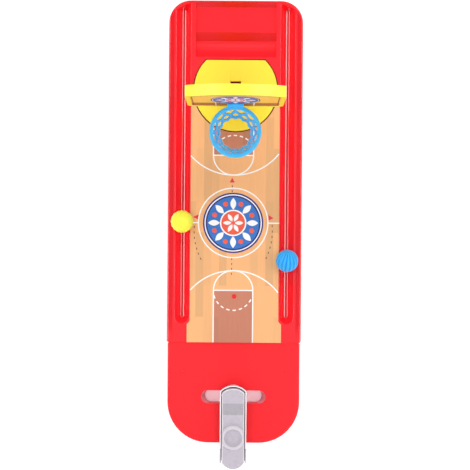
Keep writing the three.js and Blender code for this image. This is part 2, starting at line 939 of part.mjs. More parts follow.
// The board's outline in (x, height) points: an arched top and rounded corners, drawn in by inset.
function boardOutline(inset) {
  const half = boardWidth / 2 - inset;
  const bottom = boardBottom + inset;
  const side = boardBottom + boardSideHeight - inset;
  const archRadius = ((boardWidth / 2) ** 2 + boardArch ** 2) / (2 * boardArch) - inset;
  const archCentre = boardBottom + boardSideHeight + boardArch - inset - archRadius;
  const low = Math.max(boardBottomCorner - inset, boardBottomCorner / 3);
  const high = Math.max(boardTopCorner - inset, boardTopCorner / 3);
  const tilt = Math.asin((half - high) / (archRadius - high));
  const cornerHeight = archCentre + (archRadius - high) * Math.cos(tilt);
  const shape = new THREE.Shape();
  shape.moveTo(-half + low, bottom);
  shape.lineTo(half - low, bottom);
  shape.absarc(half - low, bottom + low, low, -Math.PI / 2, 0);
  shape.lineTo(half, Math.min(cornerHeight, side));
  shape.absarc(half - high, cornerHeight, high, 0, Math.PI / 2 - tilt);
  shape.absarc(0, archCentre, archRadius, Math.PI / 2 - tilt, Math.PI / 2 + tilt);
  shape.absarc(high - half, cornerHeight, high, Math.PI / 2 + tilt, Math.PI);
  shape.lineTo(-half, bottom + low);
  shape.absarc(low - half, bottom + low, low, Math.PI, 1.5 * Math.PI);
  return shape;
}

// Sleeves on the back of the board that the post's prongs slide up into.
function boardSleeves() {
  const plateBack = boardFace + boardPlate;
  const lipFront = plateBack + seatGap + prongThickness + seatGap;
  const lipBack = lipFront + sleeveLipThickness;
  const low = boardBottom + sleeveLift;
  const high = low + sleeveHeight;
  return mirroredPair((side) => {
    const across = (from, to) => (side > 0 ? [from, to] : [-to, -from]);
    const inner = prongInner - seatGap;
    const outer = prongOuter + seatGap;
    const walls = [
      [inner - sleeveWall, inner],
      [outer, outer + sleeveWall],
    ].map(([from, to]) => block(across(from, to), [plateBack - seatGap, lipBack], [low, high]));
    const lips = [
      [inner - sleeveWall, inner + sleeveLip],
      [outer - sleeveLip, outer + sleeveWall],
    ].map(([from, to]) => block(across(from, to), [lipFront, lipBack], [low, high]));
    return joined([...walls, ...lips]);
  });
}

function tabSlots(front, back) {
  const low = bracketBottom + (bracketHeight - tabHeight) / 2 - seatGap;
  const high = low + tabHeight + tabBarb + 2 * seatGap;
  return mirroredPair((side) => {
    const from = side * tabOffset - tabWidth / 2 - seatGap;
    return block([from, from + tabWidth + 2 * seatGap], [front, back], [low, high]);
  });
}

function backboardFrame() {
  const body = alongY(boardOutline(0), boardFace, boardBack, arcSteps);
  const hollow = alongY(boardOutline(boardWall), boardFace + boardPlate, boardBack + overrun);
  const cardSeat = alongY(boardOutline(boardRim), boardFace - overrun, boardFace + cardDepth);
  const prongDoors = mirroredPair((side) => {
    const near = prongInner - seatGap;
    const far = prongOuter + seatGap;
    return block(
      side > 0 ? [near, far] : [-far, -near],
      [boardFace + boardPlate, boardBack + overrun],
      [boardBottom - overrun, boardBottom + boardWall + seatGap],
    );
  });
  return body
    .subtract(hollow)
    .subtract(cardSeat)
    .subtract(prongDoors)
    .subtract(tabSlots(boardFace - overrun, boardFace + boardPlate + seatGap))
    .add(boardSleeves());
}

function backboardCard() {
  const front = boardFace + cardDepth - seatGap - cardThickness;
  return alongY(boardOutline(boardRim + seatGap / 2), front, front + cardThickness).subtract(
    tabSlots(front - overrun, front + overrun),
  );
}

// A closed skin over rings of equally many points, each ring a list of vectors.
function skinned(rings) {
  const sides = rings[0].length;
  const corners = [];
  for (let i = 0; i + 1 < rings.length; i++) {
    for (let j = 0; j < sides; j++) {
      const [a, b] = [i * sides + j, i * sides + ((j + 1) % sides)];
      corners.push(a, b, b + sides, a, b + sides, a + sides);
    }
  }
  const last = (rings.length - 1) * sides;
  for (let j = 1; j + 1 < sides; j++) {
    corners.push(0, j + 1, j, last, last + j, last + j + 1);
  }
  const geometry = new THREE.BufferGeometry().setFromPoints(rings.flat());
  geometry.setIndex(corners);
  return solid(geometry);
}

// The net is a thin cone. Places on it are (turn, depth): turn counts from one root to the next,
// and depth from the band down to the hem.
function netRadius(depth) {
  const topRadius = hoopOuterRadius - hoopBandWidth + netTopInset;
  return topRadius + (netBottomRadius - topRadius) * depth;
}

// Takes each corner of an outline off by a share of the edges beside it.
function eased(corners) {
  return corners.flatMap(([x, y], i) => {
    const near = [corners.at(i - 1), corners[(i + 1) % corners.length]];
    return near.map(([u, v]) => [x + (u - x) * netEaseShare, y + (v - y) * netEaseShare]);
  });
}

// A form that cuts one opening through the net's wall.
function netOpening(start, corners) {
  const ring = (reach) =>
    corners.map(([turn, depth]) => {
      const angle = (2 * Math.PI * (start + turn)) / netRoots;
      const radius = netRadius(depth) + reach;
      const height = hoopHeight - netDepth * depth;
      return new THREE.Vector3(radius * Math.cos(angle), radius * Math.sin(angle), height);
    });
  return skinned([ring(-overrun / 2), ring(overrun / 2)]);
}

// The openings between two roots, the ones below a root and the notches in the hem.
function netOpenings() {
  const middle = (1 + netPartingShare) / 2;
  const rise = (1 - netPartingShare) / 2;
  const cellWidth = (2 * Math.PI * netRadius(middle)) / netRoots;
  const slant = Math.hypot(netDepth, netRadius(0) - netRadius(1)) * rise;
  const halfStrand = netStrandWidth / 2;
  const open = 1 - (halfStrand * Math.hypot(cellWidth / 2, slant)) / ((cellWidth / 2) * slant);
  const rootSide = halfStrand / cellWidth;
  const lowPoint = middle - rise * (1 - open);
  const rootFoot = lowPoint - rise * (1 - 2 * rootSide);
  const upper = [
    [1 - rootSide, rootFoot],
    [1 - rootSide, 0],
    [rootSide, 0],
    [rootSide, rootFoot],
    [1 / 2, lowPoint],
  ];
  const diamond = [
    [open / 2, middle],
    [0, middle - rise * open],
    [-open / 2, middle],
    [0, middle + rise * open],
  ];
  const notch = [
    [1 - rootSide, 1],
    [1 / 2, 1 - netHemShare],
    [rootSide, 1],
    [1 / 2, 1 + netHemShare],
  ];
  const cuts = [];
  for (let i = 0; i < netRoots; i++) {
    cuts.push(netOpening(i, upper), netOpening(i, eased(diamond)), netOpening(i, eased(notch)));
  }
  return joined(cuts);
}

function hoopNet() {
  const inner = hoopOuterRadius - hoopBandWidth;
  const low = hoopHeight - hoopBandHeight / 2;
  const high = hoopHeight + hoopBandHeight / 2;
  const soft = hoopBandWidth / 4;
  const band = turned(
    [
      [inner + soft, low],
      [hoopOuterRadius - soft, low],
      [hoopOuterRadius, low + soft],
      [hoopOuterRadius, high - soft],
      [hoopOuterRadius - soft, high],
      [inner + soft, high],
      [inner, high - soft],
      [inner, low + soft],
      [inner + soft, low],
    ],
    fineSides,
  );
  const half = netWall / 2;
  const hem = hoopHeight - netDepth;
  const cone = turned([
    [netRadius(1) - half, hem],
    [netRadius(1) + half, hem],
    [netRadius(0) + half, hoopHeight],
    [netRadius(0) - half, hoopHeight],
    [netRadius(1) - half, hem],
  ]);
  return joined([cone.subtract(netOpenings()), band, hoopBracket()]);
}

// The bracket lies on the card and hooks through it and the board with two tabs.
function hoopBracket() {
  const back = boardFaceBehindHoop + cardDepth - seatGap - cardThickness - seatGap;
  const low = bracketBottom;
  const high = low + bracketHeight;
  const half = bracketWidth / 2;
  const wall = block([-half, half], [back - bracketThickness, back], [low, high]);
  const neckReach = hoopOuterRadius - hoopBandWidth / 2;
  const neck = block(
    [-half, half],
    [neckReach, back - bracketThickness / 2],
    [hoopHeight - hoopBandHeight / 2, hoopHeight + hoopBandHeight / 2],
  );
  const tabLow = low + (bracketHeight - tabHeight) / 2;
  const tabHigh = tabLow + tabHeight;
  const hookFoot = boardFaceBehindHoop + boardPlate + seatGap;
  const tabs = mirroredPair((side) => {
    const from = side * tabOffset - tabWidth / 2;
    const profile = polygon([
      [back - bracketThickness / 2, tabLow],
      [hookFoot + tabBarbLength, tabLow],
      [hookFoot + tabBarbLength, tabHigh],
      [hookFoot + tabBarbLength / 2, tabHigh + tabBarb],
      [hookFoot, tabHigh + tabBarb],
      [hookFoot, tabHigh],
      [back - bracketThickness / 2, tabHigh],
    ]);
    return acrossX(profile, from, from + tabWidth);
  });
  return joined([wall, neck, tabs]);
}

// From here on, places are counted from the swivel axis of the launcher.

function slideCarriage() {
  const stemBottom = slotBottom - seatGap;
  const bossTop = channelBottom + channelFloor + seatGap;
  const flange = drum(carriageFlangeRadius, flangeBottom, flangeBottom + carriageFlange);
  const stem = prism(
    stadium(stemLength, slotWidth - 2 * stemClearance),
    stemBottom,
    flangeBottom + carriageFlange,
    arcSteps,
  );
  const boss = drum(bossRadius, flangeBottom, bossTop);
  const upperPilot = drum(
    screwRadius + seatGap,
    bossTop + washerThickness + seatGap - upperScrewLength,
    bossTop + overrun,
    0,
    0,
    coarseSides,
  );
  const lowerPilot = drum(
    screwRadius + seatGap,
    0,
    stemBottom - seatGap - retainerThickness + lowerScrewLength,
    0,
    0,
    coarseSides,
  );
  return joined([flange, stem, boss]).subtract(upperPilot).subtract(lowerPilot);
}

function carriageRetainer() {
  const top = slotBottom - 2 * seatGap;
  const outline = plate(
    retainerWidth / 2,
    -retainerLength / 2,
    retainerLength / 2,
    retainerCorner,
    retainerCorner,
  );
  return prism(outline, top - retainerThickness, top).subtract(
    drum(screwRadius + seatGap, 0, panelHeight, 0, 0, coarseSides),
  );
}

// A pan-head screw standing head up, with its head's underside at the given height.
function panScrew(length) {
  const soft = screwHeadHeight / 3;
  const body = turned(
    [
      [0, -length],
      [screwRadius / 2, -length],
      [screwRadius, -length + screwRadius],
      [screwRadius, 0],
      [screwHeadRadius, 0],
      [screwHeadRadius, screwHeadHeight - soft],
      [screwHeadRadius - soft, screwHeadHeight],
      [0, screwHeadHeight],
    ],
    coarseSides,
  );
  const long = screwRecessLength / 2;
  const wide = screwRecessWidth / 2;
  const deep = [screwHeadHeight - screwRecessDepth, screwHeadHeight + overrun];
  const cross = block([-long, long], [-wide, wide], deep).add(
    block([-wide, wide], [-long, long], deep),
  );
  return body.subtract(cross);
}

function swivelWasher() {
  const bottom = channelBottom + channelFloor + 2 * seatGap;
  const top = bottom + washerThickness;
  return drum(washerRadius, bottom, top).subtract(
    drum(screwRadius + seatGap, 0, top + overrun, 0, 0, coarseSides),
  );
}

function swivelScrew() {
  const seat = channelBottom + channelFloor + washerThickness + 3 * seatGap;
  return panScrew(upperScrewLength - seatGap).translate([0, 0, seat]);
}

function retainerScrew() {
  const seat = slotBottom - 3 * seatGap - retainerThickness;
  return panScrew(lowerScrewLength - seatGap).rotate([180, 0, 0]).translate([0, 0, seat]);
}

// The channel's plan: an arched nose and straight sides, drawn in by inset.
function channelOutline(inset, tail) {
  const half = channelWidth / 2 - inset;
  const radius = channelNoseRadius - inset;
  const centre = channelNose - channelNoseRadius;
  const spread = Math.asin(half / radius);
  const shape = new THREE.Shape();
  shape.moveTo(-half, -tail);
  shape.lineTo(half, -tail);
  shape.absarc(0, centre, radius, Math.PI / 2 - spread, Math.PI / 2 + spread);
  return shape;
}

// Everything behind the raked nose line, drawn in by inset.
function behindNose(inset) {
  const slope = channelNoseRake / cheekHeight;
  const frontAt = (height) =>
    channelNose - inset - slope * (channelBottom + cheekHeight - height);
  const low = channelBottom - overrun;
  const high = channelBottom + cheekHeight;
  const profile = polygon([
    [-leverTail - overrun, low],
    [frontAt(low), low],
    [frontAt(high), high],
    [frontAt(high), high + overrun * 2],
    [-leverTail - overrun, high + overrun * 2],
  ]);
  return acrossX(profile, -channelWidth, channelWidth);
}

function launcherChannel() {
  const floorTop = channelBottom + channelFloor;
  const cheekTop = channelBottom + cheekHeight;
  const railTop = channelBottom + railHeight;
  const outer = prism(channelOutline(0, channelTail), channelBottom, cheekTop, arcSteps * 2);
  const inner = prism(
    channelOutline(channelWall, channelTail + overrun),
    floorTop,
    cheekTop + overrun,
    arcSteps * 2,
  );
  const lowered = polygon([
    [-cheekEnd, cheekTop],
    [-cheekEnd, cheekTop + overrun],
    [-channelTail - overrun, cheekTop + overrun],
    [-channelTail - overrun, railTop],
    [-railStart, railTop],
  ]);
  const bore = drum(bossRadius + runningGap, 0, floorTop + overrun);
  const pinHoles = crossBar(
    pinRadius + seatGap,
    -channelWidth,
    channelWidth,
    pinAheadOfAxis,
    channelBottom + pinHeight,
  );
  return outer
    .intersect(behindNose(0))
    .subtract(inner.intersect(behindNose(channelWall)))
    .subtract(acrossX(lowered, -channelWidth, channelWidth))
    .subtract(bore)
    .subtract(pinHoles);
}

function leverPin() {
  const half = channelWidth / 2 - pinEndGap;
  return crossBar(pinRadius, -half, half, pinAheadOfAxis, channelBottom + pinHeight);
}

// The lever's plan: it follows the channel's nose and ends in a shallow round tip.
function leverOutline(inset) {
  const half = channelWidth / 2 - channelWall - leverSideGap - inset;
  const noseRadius = channelNoseRadius - channelWall - leverNoseGap - inset;
  const noseCentre = channelNose - channelNoseRadius;
  const noseSpread = Math.asin(half / noseRadius);
  const tipRadius = leverTipRadius - inset;
  const tipCentre = leverTipRadius - leverTail;
  const tipSpread = Math.asin(half / tipRadius);
  const shape = new THREE.Shape();
  shape.absarc(0, tipCentre, tipRadius, -Math.PI / 2 - tipSpread, -Math.PI / 2 + tipSpread);
  shape.absarc(0, noseCentre, noseRadius, Math.PI / 2 - noseSpread, Math.PI / 2 + noseSpread);
  return shape;
}

// Side profile of the lever's body: high over the pin, sloping down to the cup's level.
function leverProfile(lowered) {
  const high = channelBottom + leverHighTop - lowered;
  const low = channelBottom + leverLowTop - lowered;
  const slopeShift = lowered / 2;
  const rimBottom = lowered > 0 ? 0 : channelBottom + leverLowTop - leverRimDepth;
  const cheekBottom = lowered > 0 ? 0 : channelBottom + leverHighTop - leverCheekDepth;
  return polygon([
    [channelNose + overrun, high],
    [slopeShift - leverSlopeStart, high],
    [slopeShift - leverSlopeEnd, low],
    [-leverTipDropStart, low],
    [-leverTail - overrun, low - leverTipDrop * 2],
    [-leverTail - overrun, rimBottom],
    [-leverSlopeEnd, rimBottom],
    [-leverCheekEnd, cheekBottom],
    [channelNose + overrun, cheekBottom],
  ]);
}

function leverCup() {
  const low = channelBottom + leverLowTop;
  const rimTop = low + cupRimHeight;
  const bowlRadius = (cupMouthRadius ** 2 + cupDepth ** 2) / (2 * cupDepth);
  const soft = cupRimHeight / 2;
  const rim = turned([
    [0, low - leverSkin],
    [cupRimRadius, low - leverSkin],
    [cupRimRadius, rimTop - soft],
    [cupRimRadius - soft, rimTop],
    [0, rimTop],
  ]);
  const underside = turned([
    [0, rimTop - cupDepth - cupWall],
    [cupMouthRadius / 2, rimTop - cupDepth - cupWall],
    [cupMouthRadius, low - leverSkin],
    [0, low - leverSkin],
  ]);
  const bowl = solid(
    new THREE.SphereGeometry(bowlRadius, roundSides, coarseSides)
      .rotateX(Math.PI / 2)
      .translate(0, 0, rimTop - cupDepth + bowlRadius),
  );
  return { body: rim.add(underside), bowl };
}

function launcherLever() {
  const plan = prism(leverOutline(0), 0, channelBottom + leverHighTop + overrun, arcSteps * 2);
  const innerPlan = prism(
    leverOutline(leverWall),
    0,
    channelBottom + leverHighTop + overrun,
    arcSteps * 2,
  );
  const noseInset = channelWall + leverNoseGap;
  const body = acrossX(leverProfile(0), -channelWidth, channelWidth)
    .intersect(plan)
    .intersect(behindNose(noseInset));
  const hollow = acrossX(leverProfile(leverSkin), -channelWidth, channelWidth)
    .intersect(innerPlan)
    .intersect(behindNose(noseInset + leverWall));
  const cup = leverCup();
  const cupAt = [0, -cupBehindAxis, 0];
  const pinHole = crossBar(
    pinRadius + seatGap,
    -channelWidth,
    channelWidth,
    pinAheadOfAxis,
    channelBottom + pinHeight,
  );
  return body
    .subtract(hollow)
    .add(cup.body.translate(cupAt).intersect(plan))
    .subtract(cup.bowl.translate(cupAt))
    .subtract(pinHole);
}

// The spring's wire: a leg down to the channel's floor, the coil round the pin, and a leg
// back under the lever.
function springRoute() {
  const pinZ = channelBottom + pinHeight;
  const floorTop = channelBottom + channelFloor + seatGap;
  const half = (springPitch * springTurns) / 2;
  const points = [];
  for (let i = 0; i < springLegSteps; i++) {
    const height = floorTop + ((pinZ - floorTop) * i) / springLegSteps;
    points.push(new THREE.Vector3(-half, pinAheadOfAxis + springMeanRadius, height));
  }
  const steps = Math.round(springTurns * springStepsPerTurn);
  for (let i = 0; i <= steps; i++) {
    const angle = (2 * Math.PI * springTurns * i) / steps;
    points.push(
      new THREE.Vector3(
        -half + (springPitch * springTurns * i) / steps,
        pinAheadOfAxis + springMeanRadius * Math.cos(angle),
        pinZ + springMeanRadius * Math.sin(angle),
      ),
    );
  }
  for (let i = 1; i <= springLegSteps; i++) {
    const back = pinAheadOfAxis - (springUpperLeg * i) / springLegSteps;
    points.push(new THREE.Vector3(half, back, pinZ + springMeanRadius));
  }
  return points;
}

// The least space between the coil's turns, from points a turn apart.
function springLeastGap(points) {
  let least = Infinity;
  for (let i = 0; i < points.length; i++) {
    for (let j = i + springStepsPerTurn / 2; j < points.length; j++) {
      least = Math.min(least, points[i].distanceTo(points[j]) - springWire);
    }
  }
  return least;
}

function leverSpring() {
  const route = springRoute();
  console.log("spring's least gap to itself, mm:", springLeastGap(route).toFixed(2));
  const section = [];
  for (let i = 0; i < springSides; i++) {
    const angle = (2 * Math.PI * i) / springSides;
    section.push([(springWire / 2) * Math.cos(angle), (springWire / 2) * Math.sin(angle)]);
  }
  const geometry = new THREE.ExtrudeGeometry(polygon(section), {
    steps: route.length - 1,
    bevelEnabled: false,
    extrudePath: new THREE.CatmullRomCurve3(route),
  });
  return solid(geometry);
}

// How high a ball's centre lies when it rests on a gutter's two lips.
function ballHeight() {
  const lipPlace = gutterLipPlace(gutterLean());
  const reach = ballRadius + gutterLipRound + seatGap;
  return trayHeight - gutterLipRound + Math.sqrt(reach ** 2 - lipPlace ** 2);
}

function ball(name, side, fromSeam, look) {
  const geometry = new THREE.SphereGeometry(ballRadius, roundSides, coarseSides);
  const mesh = new THREE.Mesh(geometry, new THREE.MeshStandardMaterial(look));
  mesh.name = name;
  mesh.position.set(side * gutterOffset, seam + fromSeam, ballHeight());
  mesh.rotation.x = Math.PI / 2;
  return mesh;
}

const hoop = new THREE.Group();
hoop.position.y = hoopPlace;
hoop.add(part("hoop_net", hoopNet(), blue));

const hoopStand = new THREE.Group();
hoopStand.position.y = footPlace;
hoopStand.add(part("hoop_foot", hoopFoot(), yellow), part("hoop_post", hoopPost(), yellow));

const panelEnd = new THREE.Group();
panelEnd.position.y = seam;
panelEnd.add(part("front_panel", frontPanel(), red));

const launcher = new THREE.Group();
launcher.position.y = slotPlace;
launcher.add(
  part("slide_carriage", slideCarriage(), grey),
  part("carriage_retainer", carriageRetainer(), grey),
  part("retainer_screw", retainerScrew(), steel),
  part("swivel_washer", swivelWasher(), steel),
  part("swivel_screw", swivelScrew(), steel),
  part("launcher_channel", launcherChannel(), grey),
  part("launcher_lever", launcherLever(), grey),
  part("lever_pin", leverPin(), steel),
  part("lever_spring", leverSpring(), steel),
);

const game = new THREE.Group();
game.add(
  part("rear_tray", rearTray(), red),
  part("court_sheet", courtSheet(), courtPrint),
  part("backboard_frame", backboardFrame(), yellow),
  part("backboard_card", backboardCard(), courtPrint),
  hoop,
  hoopStand,
  panelEnd,
  launcher,
  ball("ball_yellow", -1, yellowBallFromSeam, yellow),
  ball("ball_blue", 1, blueBallFromSeam, blue),
);

export default game;
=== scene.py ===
import cmath
import math

import bmesh
import bpy
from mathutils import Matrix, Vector


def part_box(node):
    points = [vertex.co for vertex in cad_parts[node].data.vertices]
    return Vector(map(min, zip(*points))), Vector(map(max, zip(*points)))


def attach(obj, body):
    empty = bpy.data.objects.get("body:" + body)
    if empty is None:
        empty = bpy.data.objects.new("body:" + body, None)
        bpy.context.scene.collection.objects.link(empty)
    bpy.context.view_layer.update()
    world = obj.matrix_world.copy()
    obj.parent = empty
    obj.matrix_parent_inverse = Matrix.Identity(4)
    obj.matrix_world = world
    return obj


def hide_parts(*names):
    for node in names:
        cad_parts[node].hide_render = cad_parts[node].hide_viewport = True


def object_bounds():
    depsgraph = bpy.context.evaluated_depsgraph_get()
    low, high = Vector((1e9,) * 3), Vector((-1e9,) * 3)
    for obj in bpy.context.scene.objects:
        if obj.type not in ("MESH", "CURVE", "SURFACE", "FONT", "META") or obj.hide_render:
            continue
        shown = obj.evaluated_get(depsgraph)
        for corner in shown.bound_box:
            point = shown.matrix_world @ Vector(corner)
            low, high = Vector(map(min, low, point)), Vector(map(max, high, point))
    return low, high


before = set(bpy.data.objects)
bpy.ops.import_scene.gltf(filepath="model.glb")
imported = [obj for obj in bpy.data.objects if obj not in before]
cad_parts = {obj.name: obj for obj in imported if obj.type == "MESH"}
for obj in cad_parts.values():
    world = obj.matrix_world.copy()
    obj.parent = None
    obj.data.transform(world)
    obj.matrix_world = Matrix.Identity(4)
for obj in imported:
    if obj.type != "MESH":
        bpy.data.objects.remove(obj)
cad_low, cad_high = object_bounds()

# Lengths here are in millimetres, in the frame's own axes, and MM turns them into metres.
MM = 0.001
TURN = 2 * math.pi

# Where the photograph was taken from: straight above, turned a little
camera_place = (0.4, -2.0, 816)
camera_roll = math.radians(0.446)
camera_lens = 69.55

# Printed layers: each shape in a layer is a hair higher than the one before it
ink_thickness = 0.03
ink_step = ink_thickness / 30
line_width = 1.05

# Places on the court, from the frame's origin
circle_centre = (-1.3, 8.6)
circle_radius = 30.5
court_sides = (-38.8, 39.0)
upper_end = 92.2
key_sides = {"upper": (-19.1, 16.2), "lower": (-18.2, 16.4)}
free_throws = {"upper": 68.0, "lower": -50.7}
semicircle_reach = 17.3
foot_flat = 26.0
foot_edge = 37.7
foot_steps = 24
nub = (0.0, -56.0)
nub_hole = 2.1
nub_sides = 32

# The court's long arcs, each through three points, and its dashed ones with their gaps
long_arcs = (
    ((-38.8, 67.4), (-2.6, 50.6), (38.5, 69.5)),
    ((-38.6, -50.7), (-1.5, -33.4), (38.6, -52.5)),
)
dashed_arcs = (
    (((-17.6, -55.2), (0.6, -68.2), (15.0, -58.0)), 2.6),
    (((-11.6, 82.3), (0.0, 85.5), (12.0, 81.0)), 2.4),
)
arc_dash = 3.0

# The court's arrows and the dashed paths that lead to them; a dash is a length and a gap
court_arrows = (
    ((-2.4, 48.5), (-4.6, 44.1), (-0.2, 44.1)),
    ((-36.8, 13.5), (-31.6, 15.9), (-31.6, 11.2)),
    ((34.2, 13.0), (29.7, 10.8), (29.7, 15.9)),
)
straight_paths = (((-2.35, 41.6), (-2.35, 35.0)), ((-2.35, -22.4), (-2.35, -37.2)))
straight_dash = (1.7, 2.6)
bent_paths = (
    ((27.6, -22.8), (32.2, -8.8), (32.6, 9.6)),
    ((-29.2, -23.9), (-34.5, -9.2), (-35.0, 9.0)),
)
bent_dash = (1.9, 2.9)
path_width = 0.75

# Where the red is painted another one: painted shade on the tray's side rims, the pocket's back
# wall and the seat of the hoop's foot, and a painted glow on the walls of the panel's cross slot
side_rim = (53.7, 54.3)
side_rim_start = (-95.0, -75.0)
pocket_half = 40.5
pocket_along = (165.0, 203.0)
foot_middle = 125.7
foot_seat = 38.0
tray_top = 17.85
slot_half_length = 29.5
slot_along = (-150.2, -139.0)
slot_top = 15.7

# Places on the backboard's card: its corners and crown, its band, border and shooter's square;
# the dark border is partly print and partly painted shade where the frame's rim meets the card
card_rise = 8.0
card_corner = 3.25
least_corner = 0.2
band_top = 89.6
band_line_half = 33.5
band_line_width = 0.6
border_inset = 1.2
border_width = 0.8
shooters_square = (-15.9, 14.9, 75.6, 100.0)

# Badges: their places, and a drawing of one in its own units
court_badge_radius = 26.5
card_badge_centre = (0.0, 105.5)
card_badge_radius = 19.5
drawn_radius = 26.0
field_radius = 22.4
ring_radius = 24.2
ring_width = 0.9
core_radius = 11.4
hub_radius = 10.2
stud_reach = 17.4
stud_radius = 2.1
petal_count = 8
petal_shape = (11.5, 21.6, 2.5)
petal_fullness = 0.9
petal_steps = 10
knot_count = 6
knot_shape = (1.4, 8.8, 1.7)

# Hoop and net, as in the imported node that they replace
hoop_radius = 21.0
hoop_sides = 192
band_width = 3.4
band_ease = 1 / 3.2
net_depth = 15.0
net_top_radius = 18.7
net_bottom_radius = 12.5
net_wall = 1.45
net_strand = 1.25
net_broad = 1.16
net_low = 0.72
net_roots = 12
net_parting = 0.24
net_hem = 0.17
net_shoulder = 0.2
net_upper_foot = 0.44
net_foot_half = 0.1
net_eases = (0.3, 0.4, 0.42)
net_cut_reach = 2.5
bracket_width = 13.0
bracket_back = 22.3
bracket_thickness = 2.1
bracket_heights = (-10.4, 3.6)
tab_across = 3.4
tab_half = 1.3
tab_height = 5.0
skin_voxel = 0.26
skin_passes = 4

# Gutters: place, round bottom, and the bed that smooths it, with painted shade along its middle
gutter_across = 45.9
gutter_bottom = 10.0
gutter_radius = 2.6
bed_lift = 0.3
bed_flat = 1.5
bed_half = 2.2
bed_radius = 6.0
bed_edge = 0.02
bed_curl = 2.2
bed_skin = 0.005
bed_steps = 48
bed_ends = (-74.0, 197.5)
bed_shade = (0.35, 1.0)

# The two low marks that moulding leaves on the panel
panel_marks = (45.2, -122.3)
mark_radius = 1.5
mark_height = 0.5
mark_sunk = 0.1
mark_tip = 0.01
mark_sides = 32
mark_steps = 6

# Launcher: the channel as in the imported node that it replaces, and where its rim gets a painted
# highlight
swivel = (0.0, -144.6)
channel_half = 11.5
channel_nose = 13.2
channel_tail = 55.2
channel_softness = 0.3
nose_radius = 16.0
nose_steps = 48
nose_rake = 2.6
inner_rake = 1.45
channel_wall = 1.2
channel_floor = 2.0
cheek_height = 17.4
rail_height = 11.6
cheek_end = 4.5
rail_start = 15.5
boss_hole = 5.4
pin_hole = 1.8
pin_ahead = 4.5
pin_height = 12.4
cut_past = 5.0
bore_past = 1.0
rim_from = 24.0
rim_back = -187.0
launcher_top = 60.0

# Launcher: the torsion spring on the lever's pin
wire_radius = 0.45
spring_radius = 3.0
spring_pitch = 1.42
spring_turns = 4.25
spring_foot = 0.3
spring_leg = 11.0
coil_steps = 24
riser_steps = 4
leg_steps = 6

# Launcher: where the lever gets painted shade (its slope behind the swivel, its cup's inside) and
# painted highlights (its edges, its cup's rim)
lever_slope = (-157.2, -146.2)
lever_edge = 8.95
lever_edge_from = 33.0
lever_nose = (0.0, -147.4)
lever_nose_edge = (20.0, 13.2)
cup_middle = (0.0, -176.8)
cup_mouth = 7.8
cup_outside = 11.0
cup_rim_from = 34.3
cup_from = 31.0

# Balls: ribs from pole to pole, which fade out near the poles
ball_ribs = 16
ball_rings = 72
rib_sides = 12
rib_start = 0.35
rib_fade = 0.4
yellow_pole = (0.12, 0.1, 1)
yellow_groove = 0.3
blue_pole = (0.07, 0.87, 0.48)
blue_groove = 0.75

# The floor: its size and white, its lift away from the toy, and under the toy a stronger pink lift,
# painted light for the red glow that shows through the panel's slot
floor_half = 3000
floor_white = 0.92
floor_gain = 0.4
floor_fade = (400, 1300)
painted_glow_gain = 0.52
painted_glow_under_toy = (1.0, 0.5, 0.57, 1.0)
under_edge = (25, 15)

# The room, as strengths of white, by how far up (0 to 1) and how far aside one looks
room_sides = 0.3
room_zenith = 0.1
room_dims = (0.55, 0.93)
room_strip = 6.0
strip_starts = (0.68, 0.78)
strip_ends = (0.93, 0.97)
strip_aside = (0.22, 0.32)
room_ambient = 0.3

# Lamps: place, what each is aimed at, its two sides and its watts
LAMPS = {
    "near_light": ((0, -1000, 400), (0, 0, 40), (1000, 300), 4.8),
    "far_light": ((0, 850, 850), (0, 40, 0), (1300, 400), 6.2),
    "top_light": ((0, -50, 1100), (0, -50, 0), (900, 900), 3.2),
    "left_light": ((-950, 0, 540), (0, 0, 0), (300, 1300), 3.2),
    "right_light": ((950, 0, 540), (0, 0, 0), (300, 1300), 3.2),
}


def node_box(name):
    """A node's lowest and highest corner in millimetres."""
    low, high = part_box(name)
    return low / MM, high / MM


def new_object(name, data, place=(0, 0, 0)):
    made = bpy.data.objects.new(name, data)
    bpy.context.scene.collection.objects.link(made)
    made.location = Vector(place) * MM
    return made


def object_from(name, verts, faces):
    mesh = bpy.data.meshes.new(name)
    mesh.from_pydata([Vector(v) * MM for v in verts], [], faces)
    mesh.update()
    return new_object(name, mesh)


def turn_outward(made):
    clean = bmesh.new()
    clean.from_mesh(made.data)
    bmesh.ops.recalc_face_normals(clean, faces=clean.faces)
    clean.to_mesh(made.data)
    clean.free()


def apply_modifiers(made):
    graph = bpy.context.evaluated_depsgraph_get()
    mesh = bpy.data.meshes.new_from_object(made.evaluated_get(graph))
    made.modifiers.clear()
    made.data = mesh


def smooth_form(name, verts, faces, corner=40):
    """A form with smooth faces turned outward, sharp only at edges over this many degrees."""
    made = object_from(name, verts, faces)
    turn_outward(made)
    made.data.shade_smooth()
    made.data.set_sharp_from_angle(angle=math.radians(corner))
    return made


def soften(piece, softness, corner=32):
    """Rounds the edges over this many degrees, and evens the shading."""
    if softness:
        bevel = piece.modifiers.new("soft_edges", "BEVEL")
        bevel.width = softness * MM
        bevel.segments = 2
        bevel.limit_method = "ANGLE"
        bevel.angle_limit = math.radians(corner)
    weighted = piece.modifiers.new("even_shading", "WEIGHTED_NORMAL")
    weighted.keep_sharp = True


def finished(made, body, look, replaces=()):
    """Gives a piece its material, its body and what it stands for."""
    made.data.materials.clear()
    made.data.materials.append(look)
    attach(made, body)
    if replaces:
        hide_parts(*replaces)
    return made


# Materials

def new_material(name):
    made = bpy.data.materials.new(name)
    made.use_nodes = True
    place = add(made.node_tree, "ShaderNodeTexCoord").outputs["Object"]
    return made, made.node_tree, place


def fill(node, inputs):
    """Links each input to a socket, or sets it to a value."""
    for key, value in inputs.items():
        if isinstance(value, bpy.types.NodeSocket):
            node.id_data.links.new(value, node.inputs[key])
        else:
            node.inputs[key].default_value = value


